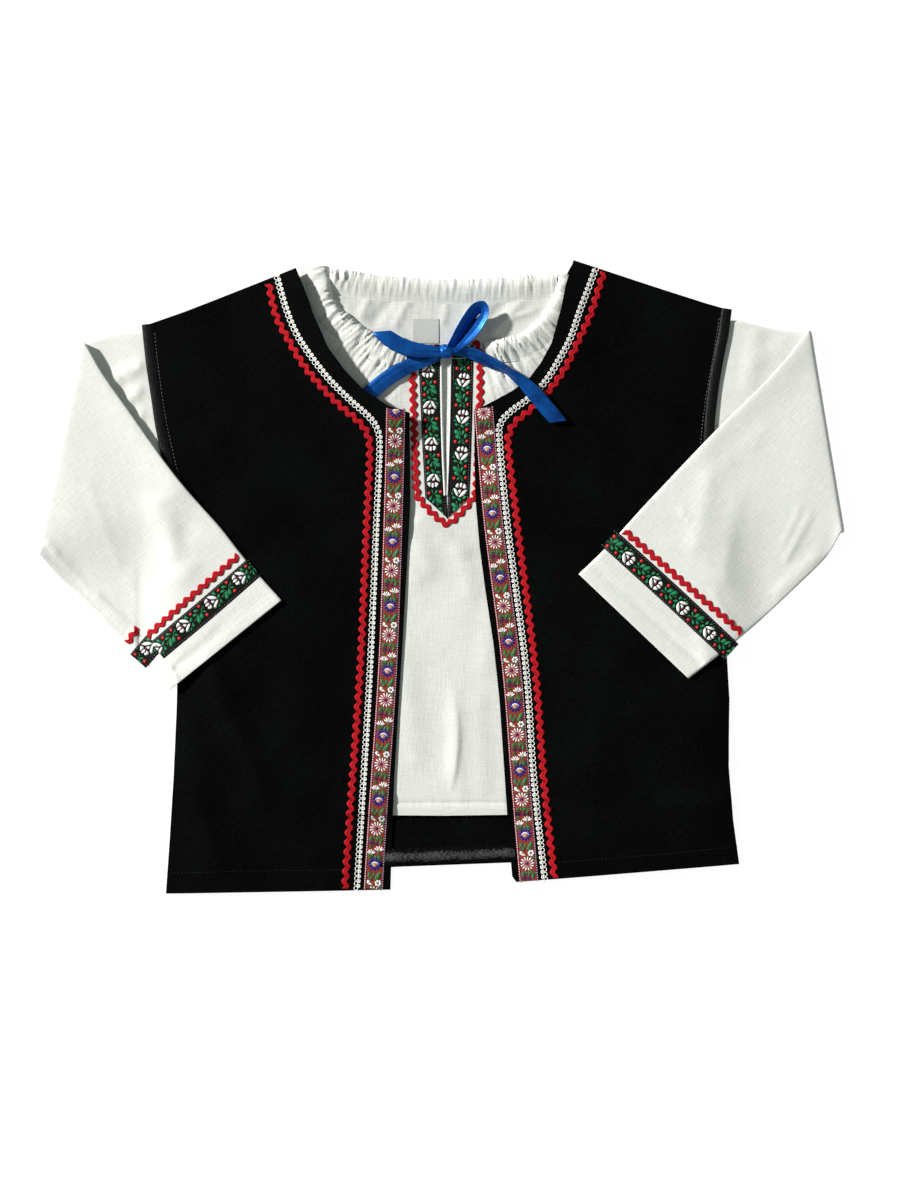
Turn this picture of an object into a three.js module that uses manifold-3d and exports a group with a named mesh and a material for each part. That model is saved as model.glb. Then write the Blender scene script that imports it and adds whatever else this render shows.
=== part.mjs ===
// A child's folk set: a white shirt inside an open black vest, laid flat with both sleeves turned over
// onto the vest's fronts. Millimetres. +X is to the right as the set is looked at from above, +Y towards
// the neck, and +Z up from the table. The origin is on the table under the middle of the set.
import * as THREE from "three";
import { mergeVertices } from "three/addons/utils/BufferGeometryUtils.js";
import Module from "manifold-3d";

const wasm = await Module();
wasm.setup();
const { lerp, smoothstep } = THREE.MathUtils;

// ---------------------------------------------------------------- driving dimensions
const CLOTH = 1.0; // wall of one layer of cloth
const SEAM = 0.3; // clearance between pieces that are sewn or lie together
const LAYER = CLOTH + SEAM;

const FLOWER_RIBBON_WIDTH = 12.5; // woven ribbon down the vest's front edges
const ROSE_RIBBON_WIDTH = 13.5; // woven ribbon on the placket and the sleeves
const PICOT_WIDTH = 4.6; // white looped braid
const RICRAC_WIDTH = 5.9; // red zigzag braid, from peak to peak
const RICRAC_PITCH = 6.6;
const BINDING_WIDTH = 6.0; // satin edge of the armholes
const FACING_WIDTH = 11.5; // satin tape inside the vest's back hem
const CASING_DEPTH = 14.5; // turned-over neck edge that holds the drawstring
const BACK_CASING_DEPTH = 16.0;
const BOW_RIBBON_WIDTH = 10.5;

// The layers, from the table up, where they lie on each other.
const VEST_BACK_Z = 0;
const SHIRT_BACK_Z = VEST_BACK_Z + LAYER;
const SHIRT_FRONT_Z = SHIRT_BACK_Z + LAYER;
const VEST_FRONT_Z = SHIRT_FRONT_Z + LAYER;
const HEM_STACK_Z = SHIRT_FRONT_Z; // the vest's front hem lies on its back hem and facing

// ---------------------------------------------------------------- colours
const finish = (color, roughness) => new THREE.MeshStandardMaterial({ color, roughness, metalness: 0 });
const BLACK_CLOTH = finish(0x0c0c0e, 0.85);
const BLACK_SATIN = finish(0x121216, 0.4);
const WHITE_CLOTH = finish(0xeef1ec, 0.9);
const ROSE_RIBBON = finish(0x16301f, 0.7);
const FLOWER_RIBBON = finish(0x8a4038, 0.7);
const RED_BRAID = finish(0xc0101c, 0.75);
const WHITE_BRAID = finish(0xf2f1ea, 0.8);
const BLUE_SATIN = finish(0x0d49a8, 0.3);

const garment = new THREE.Group();

function addPiece(name, geometry, material) {
  const piece = new THREE.Mesh(geometry, material);
  piece.name = name;
  garment.add(piece);
}

// ---------------------------------------------------------------- how cloth is made solid
// A closed wall between two grids of points with the same rows and columns.
function wallBetween(lower, upper) {
  const rows = lower.length;
  const columns = lower[0].length;
  const points = [...lower.flat(), ...upper.flat()];
  const under = (r, c) => r * columns + c;
  const over = (r, c) => rows * columns + under(r, c);
  const faces = [];
  const quad = (a, b, c, d) => faces.push(a, b, c, a, c, d);
  for (let r = 0; r < rows - 1; r++) {
    for (let c = 0; c < columns - 1; c++) {
      quad(over(r, c), over(r, c + 1), over(r + 1, c + 1), over(r + 1, c));
      quad(under(r, c), under(r + 1, c), under(r + 1, c + 1), under(r, c + 1));
    }
    const last = columns - 1;
    quad(under(r, 0), over(r, 0), over(r + 1, 0), under(r + 1, 0));
    quad(under(r, last), under(r + 1, last), over(r + 1, last), over(r, last));
  }
  for (let c = 0; c < columns - 1; c++) {
    const last = rows - 1;
    quad(under(0, c), under(0, c + 1), over(0, c + 1), over(0, c));
    quad(under(last, c), over(last, c), over(last, c + 1), under(last, c + 1));
  }
  return facingOut(points, faces);
}

// A geometry whose faces point out, whichever way its grid was wound.
function facingOut(points, faces) {
  const a = new THREE.Vector3();
  let volume = 0;
  for (let i = 0; i < faces.length; i += 3) {
    const [p, q, s] = faces.slice(i, i + 3).map((k) => points[k]);
    volume += p.dot(a.crossVectors(q, s));
  }
  if (volume < 0) faces.reverse();
  return new THREE.BufferGeometry().setFromPoints(points).setIndex(faces);
}

// A plan grid lifted to height base(x, y) and then by a further amount.
function lifted(plan, base, lift = 0) {
  return plan.map((row) => row.map((p) => new THREE.Vector3(p.x, p.y, base(p.x, p.y) + lift)));
}

// A layer of cloth over a plan grid: its underside lies at height base(x, y).
function layerOver(plan, base, thickness = CLOTH) {
  return wallBetween(lifted(plan, base), lifted(plan, base, thickness));
}

// The height just clear of a cloth's upper face, from the grid of points that the cloth was made of.
function restingOn(grid) {
  const flat = (p) => new THREE.Vector3(p.x, p.y, 0);
  const faces = [];
  for (let r = 0; r < grid.length - 1; r++) {
    for (let c = 0; c < grid[0].length - 1; c++) {
      faces.push([grid[r][c], grid[r][c + 1], grid[r + 1][c + 1]]);
      faces.push([grid[r][c], grid[r + 1][c + 1], grid[r + 1][c]]);
    }
  }
  const plans = faces.map((corners) => new THREE.Triangle(...corners.map(flat)));
  const weights = new THREE.Vector3();
  return (x, y) => {
    const point = new THREE.Vector3(x, y, 0);
    let nearest = { inside: -Infinity, z: 0 };
    plans.forEach((plan, i) => {
      if (!plan.getBarycoord(point, weights)) return;
      const inside = Math.min(...weights.toArray());
      if (inside > nearest.inside) {
        nearest = { inside, z: weights.dot(new THREE.Vector3(...faces[i].map((corner) => corner.z))) };
      }
    });
    return nearest.z + SEAM;
  };
}

// A flat panel cut to an outline.
function flatPanel(outline, z, thickness = CLOTH) {
  const shape = new THREE.Shape(outline);
  const panel = new THREE.ExtrudeGeometry(shape, { depth: thickness, bevelEnabled: false, curveSegments: 1 });
  return panel.translate(0, 0, z);
}

function solidOf(geometry) {
  const bare = new THREE.BufferGeometry().setAttribute("position", geometry.getAttribute("position"));
  if (geometry.index) bare.setIndex(geometry.index);
  const merged = mergeVertices(bare, 1e-4);
  const mesh = new wasm.Mesh({
    numProp: 3,
    vertProperties: new Float32Array(merged.attributes.position.array),
    triVerts: new Uint32Array(merged.index.array),
  });
  return new wasm.Manifold(mesh);
}

function geometryOf(solid) {
  const mesh = solid.getMesh();
  return new THREE.BufferGeometry()
    .setAttribute("position", new THREE.BufferAttribute(new Float32Array(mesh.vertProperties), 3))
    .setIndex(new THREE.BufferAttribute(new Uint32Array(mesh.triVerts), 1));
}

// ---------------------------------------------------------------- routes and plans
const vectors = (table) => table.map(([x, y]) => new THREE.Vector2(x, y));

// Evenly spaced points on a smooth route through a table of points.
function spaced(table, step) {
  const curve = new THREE.SplineCurve(vectors(table));
  return curve.getSpacedPoints(Math.max(1, Math.round(curve.getLength() / step)));
}

// Unit normals to the left of a route.
function normalsOf(route) {
  return route.map((p, i) => {
    const before = route[Math.max(i - 1, 0)];
    const after = route[Math.min(i + 1, route.length - 1)];
    const along = new THREE.Vector2().subVectors(after, before).normalize();
    return new THREE.Vector2(-along.y, along.x);
  });
}

// A plan grid that runs along a route, with columns at the given distances to its left.
function bandPlan(route, offsets) {
  const normals = normalsOf(route);
  return route.map((p, i) => offsets.map((d) => p.clone().addScaledVector(normals[i], d)));
}

// The plan of a zigzag braid, which turns at each half wave.
function ricracPlan(table) {
  const route = spaced(table, RICRAC_PITCH / 2);
  const normals = normalsOf(route);
  const swing = RICRAC_WIDTH * 0.26;
  return route.map((p, i) => {
    const middle = i % 2 ? swing : -swing;
    const reach = RICRAC_WIDTH / 2 - swing;
    return [middle + reach, middle - reach].map((d) => p.clone().addScaledVector(normals[i], d));
  });
}

// A plan grid between two edges: each table row gives outer x, outer y, inner x, inner y.
function ruledPlan(rows, columns) {
  return rows.map(([ox, oy, ix, iy]) =>
    columns.map((u) => new THREE.Vector2(lerp(ox, ix, u), lerp(oy, iy, u))));
}

// ---------------------------------------------------------------- folds and how the layers drape
// Each fold is a soft ridge along a line: its ends, its half width and its height.
const SHIRT_FOLDS = [
  { x1: 13, y1: -66, x2: 11, y2: -134, width: 6, height: 1.3 },
  { x1: -16, y1: 24, x2: 26, y2: -40, width: 12, height: 1.2 },
];
const VEST_FOLDS = [
  { x1: -146, y1: -58, x2: -120, y2: -138, width: 15, height: 2.4 },
  { x1: -104, y1: -36, x2: -84, y2: -120, width: 18, height: 1.4 },
  { x1: 186, y1: -124, x2: 120, y2: -92, width: 13, height: 2.2 },
  { x1: 104, y1: -34, x2: 88, y2: -140, width: 20, height: 1.5 },
  { x1: 150, y1: 150, x2: 110, y2: 80, width: 20, height: 1.4 },
  { x1: -150, y1: 140, x2: -100, y2: 60, width: 20, height: 1.2 },
];
const SLEEVE_FOLDS = [
  { x1: -243, y1: 44, x2: -196, y2: -12, width: 16, height: 1.3 },
  { x1: -186, y1: 52, x2: -160, y2: 4, width: 16, height: 0.9 },
  { x1: 208, y1: 92, x2: 178, y2: 4, width: 17, height: 1.2 },
  { x1: 246, y1: 84, x2: 222, y2: 20, width: 12, height: 1.0 },
];

function foldHeight(folds, x, y) {
  return folds.reduce((sum, f) => {
    const dx = f.x2 - f.x1;
    const dy = f.y2 - f.y1;
    const along = ((x - f.x1) * dx + (y - f.y1) * dy) / (dx * dx + dy * dy);
    const near = THREE.MathUtils.clamp(along, 0, 1);
    const away = Math.hypot(x - f.x1 - near * dx, y - f.y1 - near * dy);
    return sum + f.height * Math.exp(-((away / f.width) ** 2));
  }, 0);
}

// The outer edges of the vest: side seam below, armhole above. x at a height y, for the left and right.
const UNDERARM_Y = 56;
const VEST_LEFT_ROWS = [
  [-181, -208.5, -35.4, -206], [-178.5, -173, -34.3, -170], [-176, -133, -32.7, -130],
  [-174, -90, -30, -85], [-173, -45, -27.3, -43], [-173, -8, -25.2, -5], [-173.3, 25, -23.3, 28],
  [-177, 51, -22, 55], [-182, 74, -21, 80], [-187.5, 100, -20, 108], [-190, 117, -34.3, 112.5],
  [-192, 130, -51.2, 123.8], [-193.5, 141, -63, 136.3], [-194.6, 150, -73.6, 150.8],
  [-195.4, 157.5, -84.3, 175.2], [-196, 163, -89.8, 191], [-196.4, 166.7, -95, 203.3],
];
const VEST_RIGHT_ROWS = [
  [197, -189, 50, -201], [193, -160, 47, -166], [190, -124, 44.5, -128], [190.5, -80, 41.2, -80],
  [188.5, -45, 37.5, -45], [186, -10, 32.2, -10], [183, 20, 28.2, 20], [180, 52, 25.4, 52],
  [179, 80, 23.3, 80], [180.5, 104, 22, 109.5], [182.5, 122, 34, 115.4], [185, 138, 47, 122.5],
  [187.5, 151, 57.4, 129.7], [189, 161, 66, 141], [190.5, 169, 73, 154], [191.3, 173.5, 79.3, 176.7],
  [191.5, 175.5, 82.5, 193], [191.7, 177.2, 87.5, 208.5],
];
const PANEL_COLUMNS = [0, 0.045, 0.09, 0.14, 0.24, 0.38, 0.54, 0.7, 0.85, 1];

function edgeX(rows, y) {
  const k = Math.max(0, rows.findIndex((row) => row[1] >= y) - 1);
  const [a, b] = [rows[k], rows[Math.min(k + 1, rows.length - 1)]];
  return lerp(a[0], b[0], THREE.MathUtils.clamp((y - a[1]) / (b[1] - a[1] || 1), 0, 1));
}

// How far a point lies inside the vest's left or right edge.
function insideVest(x, y) {
  return Math.min(x - edgeX(VEST_LEFT_ROWS, y), edgeX(VEST_RIGHT_ROWS, y) - x);
}

const SIDE_DRAPE = 20; // the front comes down onto the back over this width at the side seams
const NECK_LIFT = 3.0; // the neck edge stands up over the shirt's gathers, the trims and the bow's tail
const NECK_EDGE = [...VEST_LEFT_ROWS, ...VEST_RIGHT_ROWS]
  .filter((row) => row[1] > 50)
  .map((row) => row.slice(2));

function vestFrontBase(x, y) {
  const overShirt = lerp(HEM_STACK_Z, VEST_FRONT_Z, smoothstep(y, -200, -160));
  const sideSeam = Math.max(smoothstep(insideVest(x, y), 0, SIDE_DRAPE), smoothstep(y, 10, 48));
  const fromNeck = Math.min(...NECK_EDGE.map(([nx, ny]) => Math.hypot(x - nx, y - ny)));
  const lift = NECK_LIFT * (1 - smoothstep(fromNeck, 20, 60));
  const folds = foldHeight(VEST_FOLDS, x, y) + foldHeight(SHIRT_FOLDS, x, y);
  return lerp(SHIRT_BACK_Z, overShirt, sideSeam) + lift + folds * sideSeam;
}
const shirtFrontBase = (x, y) => SHIRT_FRONT_Z + foldHeight(SHIRT_FOLDS, x, y);

// ---------------------------------------------------------------- vest
// Above the underarm a front panel stops short of the armhole, and the binding fills the rest.
function vestFrontPlan(rows, side) {
  const inset = BINDING_WIDTH + 2 * SEAM;
  const cut = rows.map(([ox, oy, ix, iy]) => [oy > UNDERARM_Y ? ox - side * inset : ox, oy, ix, iy]);
  return ruledPlan(cut, PANEL_COLUMNS);
}

function armholeBinding(rows, side) {
  const armhole = rows.filter((row) => row[1] > UNDERARM_Y).map(([x, y]) => [x, y]);
  const route = spaced(armhole, 9);
  const plan = route.map((p) => [p, new THREE.Vector2(p.x - side * BINDING_WIDTH, p.y)]);
  return layerOver(plan, vestFrontBase);
}

const VEST_BACK_HEM = [[-180, -205], [-100, -197], [-30, -191], [49, -188], [120, -186.5], [195.5, -187]];
const VEST_BACK_NECK = [[86.5, 206], [78, 190], [50, 182], [0, 179], [-50, 181], [-82, 187], [-94, 201.5]];
const BACK_INSET = 0.8; // the back shows nowhere past the front's outer edges

function vestBackOutline() {
  const edge = (rows, side) =>
    rows.filter((row) => row[1] > -180).map(([x, y]) => [x - side * BACK_INSET, y - BACK_INSET]);
  const right = edge(VEST_RIGHT_ROWS, 1);
  const left = edge(VEST_LEFT_ROWS, -1).reverse();
  return vectors([...VEST_BACK_HEM, ...right, ...VEST_BACK_NECK, ...left]);
}

addPiece("vest_back", flatPanel(vestBackOutline(), VEST_BACK_Z), BLACK_CLOTH);

// The facing stops where the fronts start to come down to the side seams.
const facingHem = VEST_BACK_HEM.map(([x, y]) => [THREE.MathUtils.clamp(x, -156, 173), y + 0.6]);
addPiece(
  "vest_back_hem_facing",
  layerOver(bandPlan(spaced(facingHem, 30), [0, FACING_WIDTH]), () => SHIRT_BACK_Z),
  BLACK_SATIN,
);
const frontPlans = { left: vestFrontPlan(VEST_LEFT_ROWS, -1), right: vestFrontPlan(VEST_RIGHT_ROWS, 1) };
addPiece("vest_front_left", layerOver(frontPlans.left, vestFrontBase), BLACK_CLOTH);
addPiece("vest_front_right", layerOver(frontPlans.right, vestFrontBase), BLACK_CLOTH);
addPiece("armhole_binding_left", armholeBinding(VEST_LEFT_ROWS, -1), BLACK_SATIN);
addPiece("armhole_binding_right", armholeBinding(VEST_RIGHT_ROWS, 1), BLACK_SATIN);

// Trims of the vest's fronts, each a route from the shoulder or neck down to the hem.
const FLOWER_RIBBON_LEFT = [[-29, 110.4], [-31.2, 33.3], [-35, -61.7], [-41, -156], [-44, -205]];
const FLOWER_RIBBON_RIGHT = [[28.6, 111], [30.4, 90], [35.4, 33.3], [47.2, -59.7], [53, -131.7], [58.4, -199]];
const PICOT_LEFT = [
  [-107.5, 198], [-101, 176.7], [-94.1, 160.1], [-84.3, 144.9], [-72.3, 129.8], [-58.5, 116.2],
  [-46.5, 105.5], [-41, 97], [-39.9, 84.2], [-42.2, 33.3], [-46.2, -61.7], [-51.8, -156], [-55, -205],
];
const PICOT_RIGHT = [
  [102.5, 202.5], [97.4, 191.1], [91.4, 175.5], [85.5, 158.3], [77.5, 142.9], [69.6, 130.3],
  [60.5, 120], [46.4, 110.1], [40.4, 102.5], [40, 91], [44.8, 33.3], [56.8, -59.7], [62.4, -131.7],
  [68.8, -198.5],
];
const RICRAC_LEFT = [
  [-114, 195], [-107.9, 172.2], [-99.5, 155.6], [-90.4, 140.4], [-79.7, 127.1], [-66.3, 113.2],
  [-54, 102.6], [-48, 94.5], [-46.4, 81], [-48.6, 33.3], [-53, -61.7], [-59.4, -156], [-62.6, -205],
];
const RICRAC_RIGHT = [
  [109.5, 199.8], [104, 186], [99, 173], [91.4, 156.5], [83, 139], [74.2, 126], [61.7, 112.2],
  [50, 102.5], [47, 95], [46.8, 84.2], [51.6, 33.3], [63.4, -59.7], [69, -131.7], [75.6, -197.5],
];
const RIBBON_STEP = 11;
const half = (width) => [width / 2, -width / 2];

for (const [side, ribbon, picot, ricrac] of [
  ["left", FLOWER_RIBBON_LEFT, PICOT_LEFT, RICRAC_LEFT],
  ["right", FLOWER_RIBBON_RIGHT, PICOT_RIGHT, RICRAC_RIGHT],
]) {
  const onFront = restingOn(lifted(frontPlans[side], vestFrontBase, CLOTH));
  const ribbonPlan = bandPlan(spaced(ribbon, RIBBON_STEP), half(FLOWER_RIBBON_WIDTH));
  addPiece(`vest_ribbon_${side}`, layerOver(ribbonPlan, onFront), FLOWER_RIBBON);
  const picotPlan = bandPlan(spaced(picot, 9), half(PICOT_WIDTH));
  addPiece(`vest_picot_${side}`, layerOver(picotPlan, onFront), WHITE_BRAID);
  addPiece(`vest_ricrac_${side}`, layerOver(ricracPlan(ricrac), onFront), RED_BRAID);
}

// ---------------------------------------------------------------- shirt body
// Each half of the front is ruled from its side seam and armhole to the middle and the neck.
const SLIT_END_Y = 56;
const SLIT_X = 3.2;
const SLIT_HALF = 1.3;
const SHIRT_FRONT_LEFT_ROWS = [
  [-152, -156, SLIT_X, -157], [-151.5, -120, SLIT_X, -124], [-151, -85, SLIT_X, -90], [-150.5, -50, SLIT_X, -55],
  [-150, -15, SLIT_X, -20], [-150, 18, SLIT_X, 15], [-154, 40, SLIT_X, 40], [-166, 52, SLIT_X, SLIT_END_Y],
  [-168.5, 68, SLIT_X - SLIT_HALF * 0.5, 84], [-171.5, 86, SLIT_X - SLIT_HALF * 0.75, 110],
  [-174.5, 102, SLIT_X - SLIT_HALF, 128], [-177.5, 118, SLIT_X - SLIT_HALF, 135], [-179.5, 130, -27, 135.6],
  [-181, 140, -46.5, 143], [-182.4, 148, -63, 154.6], [-183.5, 155, -79, 168.6], [-184.3, 160, -87.6, 182.6],
  [-184.8, 163, -89, 203],
];
const SHIRT_FRONT_RIGHT_ROWS = [
  [156, -155, SLIT_X, -157], [155.5, -120, SLIT_X, -124], [155, -85, SLIT_X, -90], [154.5, -50, SLIT_X, -55],
  [154, -15, SLIT_X, -20], [154, 18, SLIT_X, 15], [158, 40, SLIT_X, 40], [167, 56, SLIT_X, SLIT_END_Y],
  [168, 72, SLIT_X + SLIT_HALF * 0.5, 84], [169.5, 92, SLIT_X + SLIT_HALF * 0.75, 110],
  [171.5, 108, SLIT_X + SLIT_HALF, 128], [173.5, 122, SLIT_X + SLIT_HALF, 135], [174.6, 133, 32, 139],
  [176, 144, 51, 142.4], [178, 154, 67, 150.6], [179.8, 162, 80, 163.6], [181, 167, 89, 181],
  [181.8, 171, 93.2, 199],
];
// The middle of each half takes more columns than the part that the vest covers.
const SHIRT_COLUMNS = [0, 0.35, 0.68, 0.78, 0.85, 0.9, 0.95, 1];
const shirtHalves = [SHIRT_FRONT_LEFT_ROWS, SHIRT_FRONT_RIGHT_ROWS].map((rows) =>
  solidOf(layerOver(ruledPlan(rows, SHIRT_COLUMNS), shirtFrontBase)));
// Between the neck casings the front runs on up each side of the slit to the neckline.
const PLACKET_TOP_Y = 152.4;
const placketTabs = [
  [[-22, 132], [SLIT_X - SLIT_HALF, 132], [SLIT_X - SLIT_HALF, PLACKET_TOP_Y], [-19.6, PLACKET_TOP_Y]],
  [[SLIT_X + SLIT_HALF, 132], [28.6, 132], [26.6, PLACKET_TOP_Y + 1], [SLIT_X + SLIT_HALF, PLACKET_TOP_Y]],
].map((outline) => solidOf(flatPanel(vectors(outline), SHIRT_FRONT_Z)));
const shirtFront = [...shirtHalves, ...placketTabs].reduce((whole, piece) => whole.add(piece));
addPiece("shirt_front", geometryOf(shirtFront), WHITE_CLOTH);
const onShirtFront = (x, y) => shirtFrontBase(x, y) + LAYER;

// The back is cut like the front but for its high neck, where the back casing begins.
const SHIRT_BACK_NECK = [
  [79, 185], [60, 182.4], [34, 180.7], [9.6, 179.9], [-12, 180.4], [-50, 183.3], [-72, 186.6],
];
const shirtEdge = (rows) => rows.filter((row) => row[1] !== 40).map(([x, y]) => [x, y]);
addPiece(
  "shirt_back",
  flatPanel(
    vectors([
      ...shirtEdge(SHIRT_FRONT_RIGHT_ROWS),
      [90.5, 197],
      ...SHIRT_BACK_NECK,
      [-88.5, 197],
      ...shirtEdge(SHIRT_FRONT_LEFT_ROWS).reverse(),
    ]),
    SHIRT_BACK_Z,
  ),
  WHITE_CLOTH,
);

const LABEL = { x: -9.6, y: 162.4, width: 17, height: 16 };
addPiece(
  "neck_label",
  new THREE.BoxGeometry(LABEL.width, LABEL.height, CLOTH)
    .translate(LABEL.x, LABEL.y, SHIRT_FRONT_Z + CLOTH / 2),
  WHITE_CLOTH,
);

// ---------------------------------------------------------------- gathered neck casing
const GATHER_STATIONS = 4; // to each gather
// A casing band along the neck edge. Its gathers ride up and down and push the edge in and out.
function casing({ edge, gathers, swell, base, depth = CASING_DEPTH }) {
  const curve = new THREE.SplineCurve(vectors(edge));
  const route = curve.getSpacedPoints(gathers * GATHER_STATIONS);
  const normals = normalsOf(route);
  const wave = (i) => Math.sin((i * 2 * Math.PI) / GATHER_STATIONS);
  const uneven = (i) => 0.7 + 0.3 * Math.sin(i * 0.7) * Math.cos(i * 0.23);
  const across = [0, 0.5, 1];
  const grid = (lift) =>
    route.map((p, i) => across.map((u) => {
      const gather = wave(i) * uneven(i);
      const reach = u * depth + (u - 0.5) * 0.8 * gather;
      const at = p.clone().addScaledVector(normals[i], -reach);
      const crest = swell * (1 + gather) * 0.5 * (1 - 0.35 * u);
      return new THREE.Vector3(at.x, at.y, base + crest + lift);
    }));
  return wallBetween(grid(0), grid(CLOTH));
}

const CASING_BACK = {
  edge: [[-68, 203.4], [-48.9, 200.4], [-28.7, 198.3], [-10, 197.2], [9.6, 196.7], [34, 197.4],
    [58, 198.9], [74.6, 201.2]],
  gathers: 24,
  swell: 1.5,
  base: SHIRT_BACK_Z,
  depth: BACK_CASING_DEPTH,
};
const CASING_LEFT = {
  edge: [[-73, 205], [-72.2, 194.6], [-71.4, 188], [-66, 178], [-55.6, 169.1], [-44.2, 161], [-33, 154.6],
    [-22.5, 151.4]],
  gathers: 17,
  swell: 1.6,
  base: SHIRT_FRONT_Z,
};
const CASING_RIGHT = {
  edge: [[29.5, 155.4], [38.6, 157.4], [46.4, 158.4], [52.6, 160.7], [59, 165.6], [66, 172.6], [71.3, 180.1],
    [75, 189], [77.5, 200.5]],
  gathers: 12,
  swell: 1.7,
  base: SHIRT_FRONT_Z,
};
addPiece("neck_casing_back", casing(CASING_BACK), WHITE_CLOTH);
addPiece("neck_casing_left", casing(CASING_LEFT), WHITE_CLOTH);
addPiece("neck_casing_right", casing(CASING_RIGHT), WHITE_CLOTH);

// ---------------------------------------------------------------- placket trim
const PLACKET_TIP = { x: 4.4, y: 39.2 };

// A rose ribbon beside the slit, cut off on the slant so that the pair meets in a point.
function placketRibbon(outerTopX, innerTopX, outerLowX, innerLowX) {
  const cornerY = 53;
  const rows = [0, 0.2, 0.4, 0.6, 0.8, 1].map((v) => {
    const y = lerp(PLACKET_TOP_Y, cornerY, v);
    return [lerp(outerTopX, outerLowX, v), y, lerp(innerTopX, innerLowX, v), y];
  });
  rows.push([lerp(outerLowX, innerLowX, 0.5), (cornerY + PLACKET_TIP.y) / 2, innerLowX, cornerY - 6]);
  rows.push([lerp(outerLowX, innerLowX, 0.96), PLACKET_TIP.y + 0.4, innerLowX, PLACKET_TIP.y]);
  return layerOver(ruledPlan(rows, [0, 1]), onShirtFront);
}

addPiece("placket_ribbon_left", placketRibbon(-14.6, -1.1, -10.6, 3.2), ROSE_RIBBON);
addPiece("placket_ribbon_right", placketRibbon(21.6, 8.1, 18.6, 5.6), ROSE_RIBBON);
const PLACKET_RICRAC = [
  [-18.2, 150], [-17.6, 120], [-16.6, 90], [-15.4, 58], [-13.2, 50.5], [-4.4, 40.6], [4.2, 34.6],
  [12.6, 41.2], [20.6, 50.5], [23.2, 58], [24.6, 90], [25.6, 120], [25.8, 152],
];
addPiece("placket_ricrac", layerOver(ricracPlan(PLACKET_RICRAC), onShirtFront), RED_BRAID);

// ---------------------------------------------------------------- sleeves
// A flattened tube: two walls with a seam's clearance between them.
const SLEEVE_HEIGHT = 2 * CLOTH + SEAM;
const TURN_GAP = 3.0; // between the lower and the turned-over part at the fold
const TURN_RADIUS = SLEEVE_HEIGHT + TURN_GAP / 2;
const OVER_Z = SLEEVE_HEIGHT + TURN_GAP;
const SLEEVE_DROOP = 26; // where nothing is under it, the sleeve comes down to the table over this width

// Table rows: upper-edge x, y and underarm-edge x, y, from the armhole to the fold and on to the cuff.
const SLEEVE_LEFT = {
  side: -1,
  edges: VEST_LEFT_ROWS,
  lower: [[-185.2, 160, -168, 50], [-199, 162.2, -190, 44.4], [-212, 161, -212, 36], [-222, 158.6, -238, 26.5]],
  fold: [-237.2, 154.5, -266.5, 15.6],
  upper: [
    [-224, 135, -254, 3], [-210, 116, -243, -6.5], [-196, 96, -233, -16.5], [-181.7, 75.4, -223, -26.5],
    [-168, 58, -213, -36.5], [-154.5, 43, -203.5, -46], [-141.3, 28, -194.5, -55],
    [-130.5, 12.5, -187, -63.5], [-105, -15.5, -178, -74],
  ],
};
const SLEEVE_RIGHT = {
  side: 1,
  edges: VEST_RIGHT_ROWS,
  lower: [[182.4, 167, 169, 66], [194, 170, 190, 60.5], [211.7, 164.5, 214, 51.5], [228, 161.8, 240, 41]],
  fold: [244.6, 162, 266.5, 30.4],
  upper: [
    [228, 143.5, 256, 14.5], [211, 125, 242, 1.5], [194, 109, 228, -12], [177, 92, 215, -24],
    [160, 74, 203.5, -34], [144, 57, 193, -42.5], [127.5, 39, 184, -49.5], [109.2, 18.2, 173, -58],
    [91.4, 1.7, 162.7, -66.1],
  ],
};
const SLEEVE_COLUMNS = [0, 0.035, 0.13, 0.3, 0.5, 0.7, 0.87, 0.965, 1];

// How high the turned-over part lies: on the vest or the lower part of the sleeve, or down on the table.
function sleeveOverBase({ side, edges, lower, fold }, x, y) {
  const [, , rootX, rootY] = lower[0];
  const [, , foldX, foldY] = fold;
  const underarmY = lerp(rootY, foldY, (x - rootX) / (foldX - rootX));
  const outside = Math.min(side * (x - edgeX(edges, y)), underarmY - y);
  const held = 1 - smoothstep(outside, 0, SLEEVE_DROOP);
  const vestFolds = foldHeight(VEST_FOLDS, x, y) * smoothstep(-outside, -4, 10);
  return OVER_Z * held + foldHeight(SLEEVE_FOLDS, x, y) + vestFolds;
}

// The sections of a sleeve. Each places a point at t across the tube and h up from its outer wall.
function sleeveSections(sleeve) {
  const flat = ([ax, ay, bx, by]) => (t) => new THREE.Vector2(lerp(ax, bx, t), lerp(ay, by, t));
  const [ax, ay, bx, by] = sleeve.fold;
  const outward = new THREE.Vector2(by - ay, ax - bx).normalize().multiplyScalar(-sleeve.side);
  const inset = outward.clone().multiplyScalar(-TURN_RADIUS);
  const axis = (t) => flat(sleeve.fold)(t).add(inset);
  const rise = [SHIRT_BACK_Z, SHIRT_BACK_Z, 0.2, 0];
  const lowerPart = sleeve.lower.map((row, i) => (t, h) => {
    const p = flat(row)(t);
    return new THREE.Vector3(p.x, p.y, rise[i] + h);
  });
  const turn = [0, 30, 60, 90, 120, 150, 180].map((degrees) => (t, h) => {
    const angle = THREE.MathUtils.degToRad(degrees);
    const radius = TURN_RADIUS - h;
    const p = axis(t).addScaledVector(outward, radius * Math.sin(angle));
    return new THREE.Vector3(p.x, p.y, TURN_RADIUS - radius * Math.cos(angle));
  });
  const upperPart = sleeve.upper.map((row) => (t, h) => {
    const p = flat(row)(t);
    return new THREE.Vector3(p.x, p.y, sleeveOverBase(sleeve, p.x, p.y) + SLEEVE_HEIGHT - h);
  });
  return [...lowerPart, ...turn, ...upperPart];
}

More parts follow.
